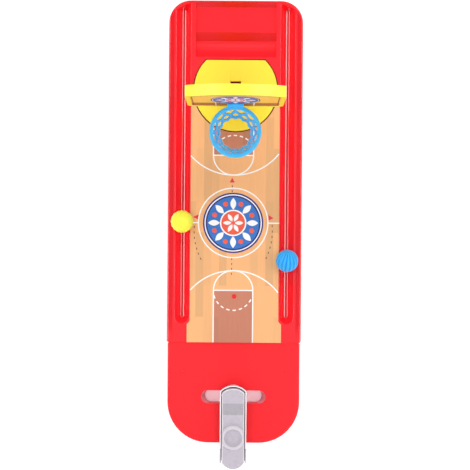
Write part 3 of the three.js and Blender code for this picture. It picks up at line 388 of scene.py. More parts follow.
def add(tree, kind, settings=None, inputs=None):
    made = tree.nodes.new(kind)
    for key, value in (settings or {}).items():
        setattr(made, key, value)
    fill(made, inputs or {})
    return made


def noise(tree, place, scale, detail=2.0):
    settings = {"Vector": place, "Scale": scale, "Detail": detail}
    return add(tree, "ShaderNodeTexNoise", inputs=settings).outputs["Fac"]


def shade(colour, factor):
    return tuple(min(c * factor, 1.0) for c in colour) + (1.0,)


def mixed(tree, factor, first, second):
    """From the first colour to the second as the factor goes from 0 to 1."""
    colours = {"Factor": factor, 6: first, 7: second}
    return add(tree, "ShaderNodeMix", {"data_type": "RGBA"}, colours).outputs[2]


def blend(tree, factor, first, second):
    """From the first strength to the second as the factor goes from 0 to 1."""
    return add(tree, "ShaderNodeMix", inputs={"Factor": factor, 2: first, 3: second}).outputs[0]


def ramp(tree, value, low, high, first=0.0, last=1.0, kind="LINEAR"):
    """From first to last as the value goes from low to high."""
    ends = {"Value": value, "From Min": low, "From Max": high, "To Min": first, "To Max": last}
    return add(tree, "ShaderNodeMapRange", {"interpolation_type": kind}, ends).outputs["Result"]


def smooth_step(tree, value, low, high, first=0.0, last=1.0):
    return ramp(tree, value, low, high, first, last, "SMOOTHSTEP")


def spread(tree, value, low, high):
    """From low to high as the value goes from 0 to 1."""
    return ramp(tree, value, 0.0, 1.0, low, high)


def bumped(tree, height, distance, strength):
    settings = {"Height": height, "Distance": distance * MM, "Strength": strength}
    return add(tree, "ShaderNodeBump", inputs=settings).outputs["Normal"]


def surfaced(made, inputs):
    fill(made.node_tree.nodes["Principled BSDF"], inputs)
    return made


def plastic(name, colour, roughness=0.25, specular=0.5, mottle=0.03, grain=0.3, glow=0.0, marks=()):
    """Moulded plastic: a faint mottle, uneven gloss and a fine grain; glow lets light into it.

    Each mark is a function that gives 0 to 1 over the piece, and the colour that it turns to.
    """
    made, tree, place = new_material(name)
    patches = noise(tree, place, scale=55.0, detail=3.0)

    def mottled(tone):
        return mixed(tree, patches, shade(tone, 1 - mottle), shade(tone, 1 + mottle))

    tint = mottled(colour)
    for where, there in marks:
        tint = mixed(tree, where(tree, place), tint, mottled(there))
    gloss = noise(tree, place, scale=240.0, detail=4.0)
    looks = {
        "Base Color": tint,
        "Roughness": spread(tree, gloss, roughness - 0.05, roughness + 0.05),
        "Specular IOR Level": specular,
        "Subsurface Weight": glow,
        "Subsurface Radius": (1.0, 0.12, 0.12),
        "Subsurface Scale": 2.5 * MM,
        "Normal": bumped(tree, noise(tree, place, scale=1400.0), distance=0.02, strength=grain),
    }
    return surfaced(made, looks)


def maths(tree, operation, *values):
    made = add(tree, "ShaderNodeMath", {"operation": operation}, dict(enumerate(values)))
    return made.outputs[0]


def axes(tree, vector):
    return add(tree, "ShaderNodeSeparateXYZ", inputs={"Vector": vector}).outputs


def all_of(tree, *tests):
    """1 where every test is 1."""
    both = tests[0]
    for test in tests[1:]:
        both = maths(tree, "MULTIPLY", both, test)
    return both


def between(tree, value, low, high):
    """1 where the value, in metres, lies between two lengths in millimetres."""
    above = maths(tree, "GREATER_THAN", value, low * MM)
    return all_of(tree, above, maths(tree, "LESS_THAN", value, high * MM))


def reach_from(tree, place, centre):
    """The distance in plan from a centre in millimetres."""
    squares = []
    for axis, middle in zip("XY", centre):
        off = maths(tree, "SUBTRACT", axes(tree, place)[axis], middle * MM)
        squares.append(maths(tree, "POWER", off, 2))
    return maths(tree, "SQRT", maths(tree, "ADD", *squares))


def aside(tree, place):
    """The distance from the toy's middle line."""
    return maths(tree, "ABSOLUTE", axes(tree, place)["X"])


def metres(lengths):
    return [length * MM for length in lengths]


# Marks, which are 1 in some part of a piece and 0 elsewhere; their lengths are in millimetres

def span(axis, low, high):
    """1 between two places along an axis."""
    return lambda tree, place: between(tree, axes(tree, place)[axis], low, high)


def beside(high, low=-1.0):
    """1 between two distances from the toy's middle line."""
    return lambda tree, place: between(tree, aside(tree, place), low, high)


def around(centre, high, low=-1.0):
    """1 between two distances in plan from a centre."""
    return lambda tree, place: between(tree, reach_from(tree, place, centre), low, high)


def facing(axis, *step):
    """A smooth step in how far the surface faces along an axis."""

    def mark(tree, place):
        normal = add(tree, "ShaderNodeNewGeometry").outputs["Normal"]
        return smooth_step(tree, axes(tree, normal)[axis], *step)

    return mark


def every(*marks):
    """1 where each of the marks is."""
    return lambda tree, place: all_of(tree, *(mark(tree, place) for mark in marks))


def either(first, second):
    return lambda tree, place: maths(tree, "MAXIMUM", first(tree, place), second(tree, place))


# Painted shade: the tray's seat below the hoop's foot, which lies in its shade, is painted dark
painted_shade_under_foot = every(
    around((0.0, foot_middle), foot_seat),
    span("Z", 0.0, tray_top),
    span("Y", 0.0, foot_middle + foot_flat + 1),
)

# Painted shade: the pocket's step and back wall, which turn away from the light, are painted a
# darker red
painted_shade_in_pocket = every(beside(pocket_half), span("Y", *pocket_along), facing("Y", -0.5, -0.2, 1.0, 0.0))

# Painted light: the walls of the panel's cross slot are painted pale pink for the light that glows
# through the thin plastic there
painted_glow_in_slot = every(beside(slot_half_length), span("Y", *slot_along), span("Z", 0.0, slot_top))

# Painted highlight: the channel's upper rim is painted near white for the light that its rounded
# top catches
painted_highlight_on_rim = every(span("Z", rim_from, launcher_top), span("Y", rim_back, 0.0), facing("Z", 0.1, 0.5))

# Painted shade and highlights on the lever: its slope between its high front and its low tail and
# its cup's inside are painted darker as shade; its upper edges beside the channel and behind its
# nose, and its cup's rim, are painted lighter as highlights
painted_shade_on_lever_slope = span("Y", *lever_slope)
painted_highlight_on_lever_edge = every(
    either(
        beside(launcher_top, lever_edge),
        every(around(lever_nose, *lever_nose_edge), span("Y", lever_nose[1], 0.0)),
    ),
    span("Z", lever_edge_from, launcher_top),
)
painted_highlight_on_cup_rim = every(
    around(cup_middle, cup_outside, cup_mouth), span("Z", cup_rim_from, launcher_top)
)
painted_shade_in_cup = every(around(cup_middle, cup_mouth), span("Z", cup_from, launcher_top))


def painted_shade_on_side_rim(tree, place):
    """1 on top of the tray's side rims, outside the gutters, which are painted a deeper red as
    shade.
    """
    return all_of(
        tree,
        smooth_step(tree, aside(tree, place), *metres(side_rim)),
        smooth_step(tree, axes(tree, place)["Y"], *metres(side_rim_start)),
        facing("Z", 0.3, 0.7)(tree, place),
    )


def painted_shade_along_bed(tree, place):
    """1 along the middle of a gutter's round bottom, the part that the least light reaches, painted
    darker as shade.
    """
    off = maths(tree, "SUBTRACT", aside(tree, place), gutter_across * MM)
    return smooth_step(tree, maths(tree, "ABSOLUTE", off), *metres(bed_shade), 1.0, 0.0)


def leaning(pole):
    """The turn that brings a ball's upright pole round to this direction."""
    return Vector((0, 0, 1)).rotation_difference(Vector(pole))


def painted_shade_in_groove(centre, pole):
    """A mark that is 1 in the grooves between a ball's ribs, which are painted darker as shade."""

    def mark(tree, place):
        offset = {"operation": "SUBTRACT"}, {0: place, 1: centre * MM}
        spoke = add(tree, "ShaderNodeVectorMath", *offset).outputs["Vector"]
        sides = []
        for axis in ((0, 1, 0), (1, 0, 0)):
            part = {"operation": "DOT_PRODUCT"}, {0: spoke, 1: leaning(pole) @ Vector(axis)}
            sides.append(add(tree, "ShaderNodeVectorMath", *part).outputs["Value"])
        turn = maths(tree, "ARCTAN2", *sides)
        wave = maths(tree, "COSINE", maths(tree, "MULTIPLY", turn, ball_ribs))
        return smooth_step(tree, wave, -1.0, 0.6, 1.0, 0.0)

    return mark


def metal(name, colour, roughness=0.28):
    """Zinc plate: a brushed sheen with slight patches."""
    made, tree, place = new_material(name)
    patches = noise(tree, place, scale=420.0, detail=4.0)
    looks = {
        "Base Color": mixed(tree, patches, shade(colour, 0.9), shade(colour, 1.06)),
        "Roughness": spread(tree, patches, roughness, roughness + 0.14),
        "Metallic": 1.0,
        "Normal": bumped(tree, noise(tree, place, scale=3000.0), distance=0.01, strength=0.4),
    }
    return surfaced(made, looks)


def planks(name, light, dark, plank_width, plank_length, roughness=0.42):
    """A printed wooden floor: planks along Y, a few of them darker, with a fine grain."""
    made, tree, place = new_material(name)
    quarter = {"Vector": place, "Rotation": (0.0, 0.0, TURN / 4)}
    black, white = (0.0, 0.0, 0.0, 1.0), (1.0, 1.0, 1.0, 1.0)
    boards = {
        "Vector": add(tree, "ShaderNodeMapping", inputs=quarter).outputs["Vector"],
        "Color1": black,
        "Color2": white,
        "Mortar": black,
        "Scale": 1.0,
        "Mortar Size": 0.0,
        "Brick Width": plank_length * MM,
        "Row Height": plank_width * MM,
    }
    lots = add(tree, "ShaderNodeTexBrick", {"offset": 0.37}, boards).outputs["Color"]
    board = mixed(tree, ramp(tree, lots, 0.6, 0.95), shade(light, 1), shade(dark, 1))
    stretched = {"Vector": place, "Scale": (1.0, 0.05, 0.05)}
    along = add(tree, "ShaderNodeMapping", inputs=stretched).outputs["Vector"]
    streaks = spread(tree, noise(tree, along, scale=900.0, detail=4.0), 0.93, 1.05)
    parts = {"Vector": board, "Scale": streaks}
    grained = add(tree, "ShaderNodeVectorMath", {"operation": "SCALE"}, parts)
    gloss = noise(tree, place, scale=300.0, detail=3.0)
    looks = {
        "Base Color": grained.outputs["Vector"],
        "Roughness": spread(tree, gloss, roughness - 0.05, roughness + 0.05),
        "Specular IOR Level": 0.3,
        "Normal": bumped(tree, noise(tree, place, scale=900.0), distance=0.01, strength=0.3),
    }
    return surfaced(made, looks)


def grey_plastic(name, marks=()):
    colour = (0.545, 0.50, 0.565)
    return plastic(name, colour, roughness=0.28, specular=0.4, mottle=0.02, marks=marks)


def printed(name, colour, mottle=0.03):
    return plastic(name, colour, roughness=0.45, specular=0.3, mottle=mottle)


# The walls of the panel's cross slot get a painted glow.
panel_red = plastic(
    "panel_red",
    (0.97, 0.013, 0.022),
    roughness=0.38,
    specular=0.4,
    grain=0.15,
    glow=0.15,
    marks=[(painted_glow_in_slot, (0.96, 0.29, 0.335))],
)
# The tray's red has painted shade on its side rims, in its pocket and in the seat under the hoop's
# foot.
tray_red = plastic(
    "tray_red",
    (0.95, 0.016, 0.027),
    roughness=0.22,
    specular=0.7,
    grain=0.15,
    marks=[
        (painted_shade_on_side_rim, (0.79, 0.003, 0.01)),
        (painted_shade_in_pocket, (0.76, 0.005, 0.014)),
        (painted_shade_under_foot, (0.2, 0.006, 0.003)),
    ],
)
# The gutter beds have painted shade along their middles.
bed_red = plastic(
    "bed_red",
    (0.97, 0.03, 0.045),
    roughness=0.16,
    specular=1.0,
    grain=0.1,
    marks=[(painted_shade_along_bed, (0.42, 0.012, 0.016))],
)
yellow = plastic("yellow_plastic", (0.98, 0.78, 0.05), roughness=0.3, mottle=0.015, grain=0.1)
frame_yellow = plastic("frame_yellow", (0.99, 0.98, 0.065), roughness=0.3, mottle=0.015, grain=0.1)
blue = plastic("blue_plastic", (0.06, 0.51, 0.96), roughness=0.24)
grey = grey_plastic("grey_plastic")
# The channel's rim has a painted highlight.
channel_grey = grey_plastic("channel_grey", [(painted_highlight_on_rim, (0.97, 0.92, 0.94))])
# The lever has painted shade on its slope and in its cup, and painted highlights on its edges and
# cup rim.
lever_grey = grey_plastic(
    "lever_grey",
    [
        (painted_shade_on_lever_slope, (0.42, 0.39, 0.44)),
        (painted_highlight_on_lever_edge, (0.86, 0.81, 0.85)),
        (painted_highlight_on_cup_rim, (0.66, 0.61, 0.67)),
        (painted_shade_in_cup, (0.52, 0.48, 0.54)),
    ],
)
steel = metal("steel", (0.62, 0.63, 0.65))
wood = planks("court_wood", (0.91, 0.465, 0.207), (0.75, 0.40, 0.185), 6.8, 74)
card_wood = planks("card_wood", (0.99, 0.60, 0.09), (0.96, 0.55, 0.085), 6.5, 60)
ball_yellow_look = plastic("ball_yellow", (0.98, 0.96, 0.075), roughness=0.42, specular=0.35)
# The blue ball's grooves are painted a darker blue as shade.
ball_blue_look = plastic(
    "ball_blue",
    (0.05, 0.49, 0.93),
    roughness=0.36,
    specular=0.3,
    marks=[(painted_shade_in_groove(sum(node_box("ball_blue"), Vector()) / 2, blue_pole), (0.01, 0.3, 0.87))],
)
white_ink = printed("white_ink", (0.97, 0.93, 0.92), mottle=0.02)
brown_ink = planks("brown_ink", (0.56, 0.215, 0.135), (0.44, 0.19, 0.125), 6.8, 74)
band_ink = printed("band_ink", (0.46, 0.15, 0.03), mottle=0.06)
red_ink = printed("red_ink", (0.75, 0.05, 0.06))
dark_ink = printed("dark_ink", (0.16, 0.05, 0.03))
navy_ink = printed("navy_ink", (0.028, 0.032, 0.19))
sky_ink = printed("sky_ink", (0.04, 0.17, 0.52))
orange_ink = printed("orange_ink", (0.83, 0.11, 0.06))


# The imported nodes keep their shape; their edges are softened and their facets smoothed. Each has
# its look, its soft edges' width and, for the lever, the angle from which an edge is softened.

NODE_LOOKS = {
    "rear_tray": (tray_red, 0.25),
    "front_panel": (panel_red, 0.25),
    "court_sheet": (wood, 0.0),
    "hoop_foot": (yellow, 0.2),
    "hoop_post": (yellow, 0.3),
    "backboard_frame": (frame_yellow, 0.35),
    "backboard_card": (card_wood, 0.0),
    "slide_carriage": (grey, 0.2),
    "carriage_retainer": (grey, 0.2),
    "launcher_lever": (lever_grey, 0.4, 20),
    "retainer_screw": (steel, 0.1),
    "swivel_washer": (steel, 0.1),
    "swivel_screw": (steel, 0.1),
    "lever_pin": (steel, 0.1),
}


def dress(name, look, softness, corner=32):
    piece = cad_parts[name]
    piece.data.materials.clear()
    piece.data.materials.append(look)
    piece.data.shade_smooth()
    weld = piece.modifiers.new("weld", "WELD")
    weld.merge_threshold = 0.002 * MM
    flat = piece.modifiers.new("flat_faces", "DECIMATE")
    flat.decimate_type = "DISSOLVE"
    flat.angle_limit = math.radians(1)
    soften(piece, softness, corner)


for node_name, node_dress in NODE_LOOKS.items():
    dress(node_name, *node_dress)


# Forms, each as its vertices and faces

def polar(centre, radius, angle):
    """The point this far from a centre, in its plane, at an angle in radians."""
    return centre[0] + radius * math.cos(angle), centre[1] + radius * math.sin(angle)


def belt(rings, rows, closed=False):
    """Faces between rings of as many points each, and back to the first if closed."""
    faces = []
    for i in range(rings if closed else rings - 1):
        here, there = i * rows, (i + 1) % rings * rows
        for j in range(rows):
            k = (j + 1) % rows
            faces.append([here + j, there + j, there + k, here + k])
    return faces


def turned(profile, sides, centre):
    """A closed (radius, height) profile turned round a vertical line."""
    verts = []
    for i in range(sides):
        angle = TURN * i / sides
        verts += [(*polar(centre, radius, angle), centre[2] + up) for radius, up in profile]
    return verts, belt(sides, len(profile), closed=True)


def tube(outlines):
    """A closed form that runs through outlines of as many points each."""
    rows = len(outlines[0])
    last = (len(outlines) - 1) * rows
    faces = [list(reversed(range(rows))), list(range(last, last + rows))]
    faces += [[a, d, c, b] for a, b, c, d in belt(len(outlines), rows)]
    return [point for outline in outlines for point in outline], faces


def ring(centre, across, other, radius, sides):
    """Points round a centre, in the plane of two directions."""
    turns = [TURN * i / sides for i in range(sides)]
    spokes = [across * math.cos(turn) + other * math.sin(turn) for turn in turns]
    return [Vector(centre) + spoke * radius for spoke in spokes]


def round_bar(radius, start, stop, sides=48):
    """A round bar between two points on a line along X or Z."""
    across = Vector((0, 1, 0))
    other = (Vector(stop) - Vector(start)).normalized().cross(across)
    return tube([ring(end, across, other, radius, sides) for end in (start, stop)])


def swept(route, radius, sides=12):
    """A round wire along a route."""
    rings = []
    last = len(route) - 1
    outward = None
    for i, point in enumerate(route):
        ahead = (Vector(route[min(i + 1, last)]) - Vector(route[max(i - 1, 0)])).normalized()
        outward = ahead.orthogonal() if outward is None else outward - ahead * outward.dot(ahead)
        outward.normalize()
        rings.append(ring(point, outward, ahead.cross(outward), radius, sides))
    return tube(rings)


def block(low, high):
    left, front, bottom = low
    right, back, top = high
    plan = [(left, front), (right, front), (right, back), (left, back)]
    return tube([[(x, y, z) for x, y in plan] for z in (bottom, top)])


def joined(*forms):
    verts, faces = [], []
    for more_verts, more_faces in forms:
        faces += [[len(verts) + i for i in face] for face in more_faces]
        verts += more_verts
    return verts, faces


# Hoop: a rounded band, the net's lattice and the bracket, fused into one moulding

def net_radius(depth):
    return net_top_radius + (net_bottom_radius - net_top_radius) * depth


def rounded_corners(corners, ease, steps=6):
    """The outline with each corner swept into a curve that starts a share of each edge away."""
    points = []
    for i, (x, y) in enumerate(corners):
        before, after = corners[i - 1], corners[(i + 1) % len(corners)]
        first = (x + (before[0] - x) * ease, y + (before[1] - y) * ease)
        last = (x + (after[0] - x) * ease, y + (after[1] - y) * ease)
        for step in range(steps + 1):
            t = step / steps
            curve = zip(first, (x, y), last)
            points.append([(1 - t) ** 2 * a + 2 * t * (1 - t) * b + t**2 * c for a, b, c in curve])
    return points


def net_opening(root, outline, centre):
    """A form that cuts one opening through the net; its outline is in (turn, depth)."""
    skins = []
    for reach in (-net_cut_reach, net_cut_reach):
        skin = []
        for turn, depth in outline:
            spot = polar(centre, net_radius(depth) + reach, TURN * (root + turn) / net_roots)
            skin.append((*spot, centre[2] - net_depth * depth))
        skins.append(skin)
    return tube(skins)


def net_outlines():
    """The opening between two roots, the one below a root and the notch in the hem."""
    middle = (1 + net_parting) / 2
    rise = (1 - net_parting) / 2
    cell = TURN * net_radius(middle) / net_roots
    slant = math.hypot(net_depth, net_top_radius - net_bottom_radius) * rise
    half_strand = net_strand / 2
    opened = 1 - half_strand * math.hypot(cell / 2, slant) / (cell / 2 * slant)
    side = half_strand / cell
    head = [(1 - side, net_shoulder), (1 - side, 0), (side, 0), (side, net_shoulder)]
    upper = head + [(0.5 + reach, net_upper_foot) for reach in (-net_foot_half, net_foot_half)]
    broad, low = opened / 2 * net_broad, rise * opened * net_low
    diamond = [(broad, middle), (0, middle - low), (-broad, middle), (0, middle + low)]
    notch = [(1 - side, 1), (0.5, 1 - net_hem), (side, 1), (0.5, 1 + net_hem)]
    return [rounded_corners(*shape) for shape in zip((upper, diamond, notch), net_eases)]


def cut_away(made, form):
    """Takes the space that a form fills out of the object."""
    cutter = object_from("cutter", *form)
    turn_outward(cutter)
    cut = made.modifiers.new("cut", "BOOLEAN")
    cut.operation = "DIFFERENCE"
    cut.solver = "EXACT"
    cut.object = cutter
    apply_modifiers(made)
    bpy.data.objects.remove(cutter)


def fuse(made, voxel, passes):
    """Gives everything in the mesh one skin, with soft inner and outer corners."""
    remesh = made.modifiers.new("fuse", "REMESH")
    remesh.mode = "VOXEL"
    remesh.voxel_size = voxel * MM
    smooth = made.modifiers.new("soften", "SMOOTH")
    smooth.factor = 0.5
    smooth.iterations = passes
    apply_modifiers(made)
    made.data.shade_smooth()


def net_lattice(centre):
    """The net as a thin cone with its openings cut out."""
    half = net_wall / 2
    wall = [
        (net_bottom_radius - half, -net_depth),
        (net_bottom_radius + half, -net_depth),
        (net_top_radius + half, 0),
        (net_top_radius - half, 0),
    ]
    net = object_from("net_blank", *turned(wall, hoop_sides, centre))
    outlines = net_outlines()
    cutters = [net_opening(i, o, centre) for i in range(net_roots) for o in outlines]
    cut_away(net, joined(*cutters))
    verts = [v.co / MM for v in net.data.vertices]
    faces = [list(p.vertices) for p in net.data.polygons]
    bpy.data.objects.remove(net)
    return verts, faces


def add_hoop():
    low, high = node_box("hoop_net")
    centre = ((low.x + high.x) / 2, low.y + hoop_radius, low.z + net_depth)
    inner, tall = hoop_radius - band_width, band_width / 2
    section = [(inner, -tall), (hoop_radius, -tall), (hoop_radius, tall), (inner, tall)]
    band = turned(rounded_corners(section, band_ease), hoop_sides, centre)
    foot, top = (centre[2] + h for h in bracket_heights)
    left, right = centre[0] - bracket_width / 2, centre[0] + bracket_width / 2
    back = centre[1] + bracket_back
    inside = back - bracket_thickness / 2
    wall = block((left, back - bracket_thickness, foot), (right, back, top))
    neck_front = centre[1] + hoop_radius - band_width / 2
    neck = block((left, neck_front, centre[2] - tall), (right, inside, centre[2] + tall))
    tab_foot = (foot + top) / 2 - tab_height / 2
    tabs = []
    for x in (centre[0] - tab_across, centre[0] + tab_across):
        tab_end = (x + tab_half, high.y, tab_foot + tab_height)
        tabs.append(block((x - tab_half, inside, tab_foot), tab_end))
    hoop = object_from("hoop", *joined(net_lattice(centre), band, wall, neck, *tabs))
    fuse(hoop, skin_voxel, skin_passes)
    finished(hoop, "base", blue, ["hoop_net"])


# Balls: hollow mouldings with ribs from pole to pole

def add_ball(colour, look, pole, groove_depth):
    node = f"ball_{colour}"
    low, high = node_box(node)
    centre = (low + high) / 2
    radius = (high.z - low.z) / 2
    sides = ball_ribs * rib_sides
    verts = [Vector((0, 0, radius)), Vector((0, 0, -radius))]
    for i in range(1, ball_rings):
        tilt = math.pi * i / ball_rings
        fade = min(1.0, max(0.0, (math.sin(tilt) - rib_start) / rib_fade))
        for j in range(sides):
            turn = TURN * j / sides
            groove = (0.5 - 0.5 * math.cos(ball_ribs * turn)) ** 3
            reach = radius - groove_depth * fade * groove
            spoke = Vector((math.cos(turn), math.sin(turn), 0)) * math.sin(tilt)
            verts.append((spoke + Vector((0, 0, math.cos(tilt)))) * reach)
    faces = [[2 + i for i in face] for face in belt(ball_rings - 1, sides)]
    last = 2 + (ball_rings - 2) * sides
    for j in range(sides):
        k = (j + 1) % sides
        faces += [[0, 2 + j, 2 + k], [1, last + k, last + j]]
    verts = [centre + leaning(pole) @ v for v in verts]
    made = object_from(f"{colour}_play_ball", verts, faces)
    made.data.shade_smooth()
    finished(made, f"{colour}_ball", look, [node])


add_hoop()
add_ball("yellow", ball_yellow_look, yellow_pole, yellow_groove)
add_ball("blue", ball_blue_look, blue_pole, blue_groove)


# Launcher's channel: its nose leans back as one curve, so that from above only the rim shows

def channel_foot():
    return node_box("launcher_channel")[0].z


def channel_block(inset, tail, rake, low, high):
    """The channel's plan as a block from low to high above its foot; the nose leans back."""
    half, radius = channel_half - inset, nose_radius - inset
    middle = (0.0, channel_nose - nose_radius)
    tip = math.asin(half / radius)
    outline = [(half, -tail)]
    for i in range(nose_steps + 1):
        outline.append(polar(middle, radius, math.pi / 2 - tip + 2 * tip * i / nose_steps))
    outline.append((-half, -tail))
    ends = []
    for height in (low, high):
        back = rake * (1 - height / cheek_height)
        z = channel_foot() + height
        leaned = [(x, y, back if y > 0 else 0.0) for x, y in outline]
        ends.append([(swivel[0] + x, swivel[1] + y - lean, z) for x, y, lean in leaned])
    return tube(ends)


def add_channel():
    foot = channel_foot()
    x, y = swivel
    made = object_from("channel", *channel_block(0.0, channel_tail, nose_rake, 0.0, cheek_height))
    turn_outward(made)
    wide = 2 * channel_half
    over, behind = cheek_height + cut_past, channel_tail + cut_past
    rail = [
        (-cheek_end, cheek_height),
        (-cheek_end, over),
        (-behind, over),
        (-behind, rail_height),
        (-rail_start, rail_height),
    ]
    sides = (x - wide, x + wide)
    bore_ends = (x, y, foot - bore_past), (x, y, foot + channel_floor + bore_past)
    pin_ends = [(side, y + pin_ahead, foot + pin_height) for side in sides]
    cut_away(made, channel_block(channel_wall, behind, inner_rake, channel_floor, over))
    cut_away(made, tube([[(side, y + v, foot + up) for v, up in rail] for side in sides]))
    cut_away(made, round_bar(boss_hole, *bore_ends))
    cut_away(made, round_bar(pin_hole, *pin_ends))
    made.data.shade_smooth()
    soften(made, channel_softness)
    finished(made, "launcher", channel_grey, ["launcher_channel"])


add_channel()


# Torsion spring: the coil and its lower leg stay on the channel, the upper leg goes with the lever

def add_spring():
    y, z = swivel[1] + pin_ahead, channel_foot() + pin_height
    half = spring_pitch * spring_turns / 2
    foot = channel_foot() + channel_floor + spring_foot
    heights = [foot + (z - foot) * i / riser_steps for i in range(riser_steps)]
    coil = [(-half, y + spring_radius, height) for height in heights]
    steps = round(spring_turns * coil_steps)
    for i in range(steps + 1):
        turn = TURN * spring_turns * i / steps
        coil.append((-half + 2 * half * i / steps, *polar((y, z), spring_radius, turn)))
    reaches = [spring_leg * i / leg_steps for i in range(leg_steps + 1)]
    leg = [(half, y - reach, z + spring_radius) for reach in reaches]
    for name, route, body in (("spring_coil", coil, "launcher"), ("spring_leg", leg, "lever")):
        made = smooth_form(name, *swept(route, wire_radius), corner=50)
        finished(made, body, steel, ["lever_spring"])


add_spring()


# Gutter beds: the round bottom of each gutter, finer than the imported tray's

def gutter_height(across):
    """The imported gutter's height at this far from its middle."""
    return gutter_radius - math.sqrt(gutter_radius**2 - across**2)


def bed_height(across):
    """The bed's height at this far from the gutter's middle."""
    flat = min(across, bed_flat)
    height = bed_lift + flat**2 / (2 * bed_radius)
    if across > bed_flat:
        run = bed_half - bed_flat
        share = (across - bed_flat) / run
        rise = bed_flat / bed_radius * run
        rim = gutter_height(bed_half) + bed_edge - height - rise
        height += rise * share + rim * share**bed_curl
    return height


def add_gutter_bed(name, side):
    places = [bed_half * (2 * i / bed_steps - 1) for i in range(bed_steps + 1)]
    section = [(x, gutter_bottom + bed_height(abs(x))) for x in places]
    section += [(x, gutter_bottom + gutter_height(abs(x)) + bed_skin) for x in reversed(places)]
    ends = [[(side * gutter_across + x, y, z) for x, z in section] for y in bed_ends]
    finished(smooth_form(name, *tube(ends)), "base", bed_red)


add_gutter_bed("left_gutter_bed", -1)
add_gutter_bed("right_gutter_bed", 1)


# Panel: a low dome at each side, left by moulding

def add_panel_marks():
    across, along = panel_marks
    top = node_box("front_panel")[1].z
    dome = [(mark_tip, -mark_sunk), (mark_radius, -mark_sunk)]
    for i in range(mark_steps + 1):
        turn = TURN * i / (4 * mark_steps)
        dome.append((max(mark_radius * math.cos(turn), mark_tip), mark_height * math.sin(turn)))
    domes = [turned(dome, mark_sides, (x, along, top)) for x in (-across, across)]
    made = smooth_form("panel_marks", *joined(*domes))
    finished(made, "base", panel_red)


add_panel_marks()


# Printed layers: thin flat pieces that lie on the sheet or the card

class Ink:
    """Flat shapes in (u, v), each a closed slab of ink, gathered into one mesh."""

    def __init__(self, sheet, layer):
        self.sheet, self.place = sheet, SHEETS[sheet]
        self.low = (layer - 1) * ink_thickness
        self.high = layer * ink_thickness
        self.verts, self.faces = [], []

    def gather(self, verts, faces):
        self.faces += [[len(self.verts) + i for i in face] for face in faces]
        self.verts += verts
        return self

    def slabs(self, *outlines):
        for outline in outlines:
            self.high += ink_step
            ends = [[self.place(u, v, up) for u, v in outline] for up in (self.low, self.high)]
            self.gather(*tube(ends))
        return self

    def ribbon(self, route, width, closed=False):
        """A line of even width along the route, as one closed strip of quads."""
        self.high += ink_step
        half = width / 2
        last = len(route) - 1
        verts = []
        for i, (u, v) in enumerate(route):
            before = route[i - 1] if i or closed else route[0]
            after = route[(i + 1) % len(route)] if i < last or closed else route[last]
            du, dv = after[0] - before[0], after[1] - before[1]
            size = math.hypot(du, dv)
            nu, nv = -dv / size * half, du / size * half
            left, right = (u + nu, v + nv), (u - nu, v - nv)
            corners = (left, self.low), (right, self.low), (right, self.high), (left, self.high)
            verts += [self.place(*spot, up) for spot, up in corners]
        faces = belt(len(route), 4, closed)
        if not closed:
            end = 4 * last
            faces += [[3, 2, 1, 0], [end, end + 1, end + 2, end + 3]]
        return self.gather(verts, faces)

    def piece(self, name, look):
        made = object_from(f"{self.sheet}_{name}", self.verts, self.faces)
        turn_outward(made)
        return finished(made, "base", look)


def arc(centre, radius, start, stop, count=48):
    """(u, v) points along an arc, its ends in degrees."""
    first, last = math.radians(start), math.radians(stop)
    turns = [first + (last - first) * i / (count - 1) for i in range(count)]
    return [polar(centre, radius, turn) for turn in turns]


def circle(centre, radius, count=96):
    return arc(centre, radius, 0, 360 - 360 / count, count)


def arc_through(*points, count=64):
    """(u, v) points of the arc that runs through three points in turn."""
    a, b, c = (complex(*point) for point in points)
    lean = (c - a) / (b - a)
    centre = a + (b - a) * (lean - abs(lean) ** 2) / (lean - lean.conjugate())
    start, through, stop = (math.degrees(cmath.phase(point - centre)) for point in (a, b, c))
    if (through - start) % 360 < (stop - start) % 360:
        stop = start + (stop - start) % 360
    else:
        stop = start - (start - stop) % 360
    return arc((centre.real, centre.imag), abs(a - centre), start, stop, count)


def dashes(ink, route, dash, gap, width):
    """Short marks along a route."""
    lengths = [0.0]
    for a, b in zip(route, route[1:]):
        lengths.append(lengths[-1] + math.hypot(b[0] - a[0], b[1] - a[1]))

    def at(distance):
        for i in range(1, len(route)):
            if lengths[i] >= distance:
                share = (distance - lengths[i - 1]) / (lengths[i] - lengths[i - 1])
                a, b = route[i - 1], route[i]
                return a[0] + (b[0] - a[0]) * share, a[1] + (b[1] - a[1]) * share
        return route[-1]

    start = 0.0
    while start + dash <= lengths[-1] + 1e-6:
        ink.ribbon([at(start), at(start + dash / 2), at(start + dash)], width)
        start += dash + gap


sheet_low, sheet_high = node_box("court_sheet")
card_low, card_high = node_box("backboard_card")

# Where a sheet's (u, v) lies, this high above its face
SHEETS = {
    "court": lambda u, v, height: (u, v, sheet_high.z + height),
    "card": lambda u, v, height: (u, card_low.y - height, v),
}


def court_keys():
    left, right = key_sides["lower"]
    top = free_throws["lower"]
    lower = [(left, sheet_low.y), (right, sheet_low.y), (right, top), (left, top)]
    left, right = key_sides["upper"]
    bottom = free_throws["upper"]
    middle = node_box("hoop_foot")[1].y - foot_flat
    across = [right - (right - left) * i / foot_steps for i in range(foot_steps + 1)]
    rim = [(u, middle - math.sqrt(foot_edge**2 - u**2)) for u in across]
    upper = [(left, bottom), (right, bottom), *rim]
    keys = Ink("court", 1).slabs(lower, upper).piece("keys", brown_ink)
    hole = circle(nub, nub_hole, nub_sides)
    cut_away(keys, tube([[(u, v, z) for u, v in hole] for z in (sheet_low.z, sheet_high.z + 1)]))


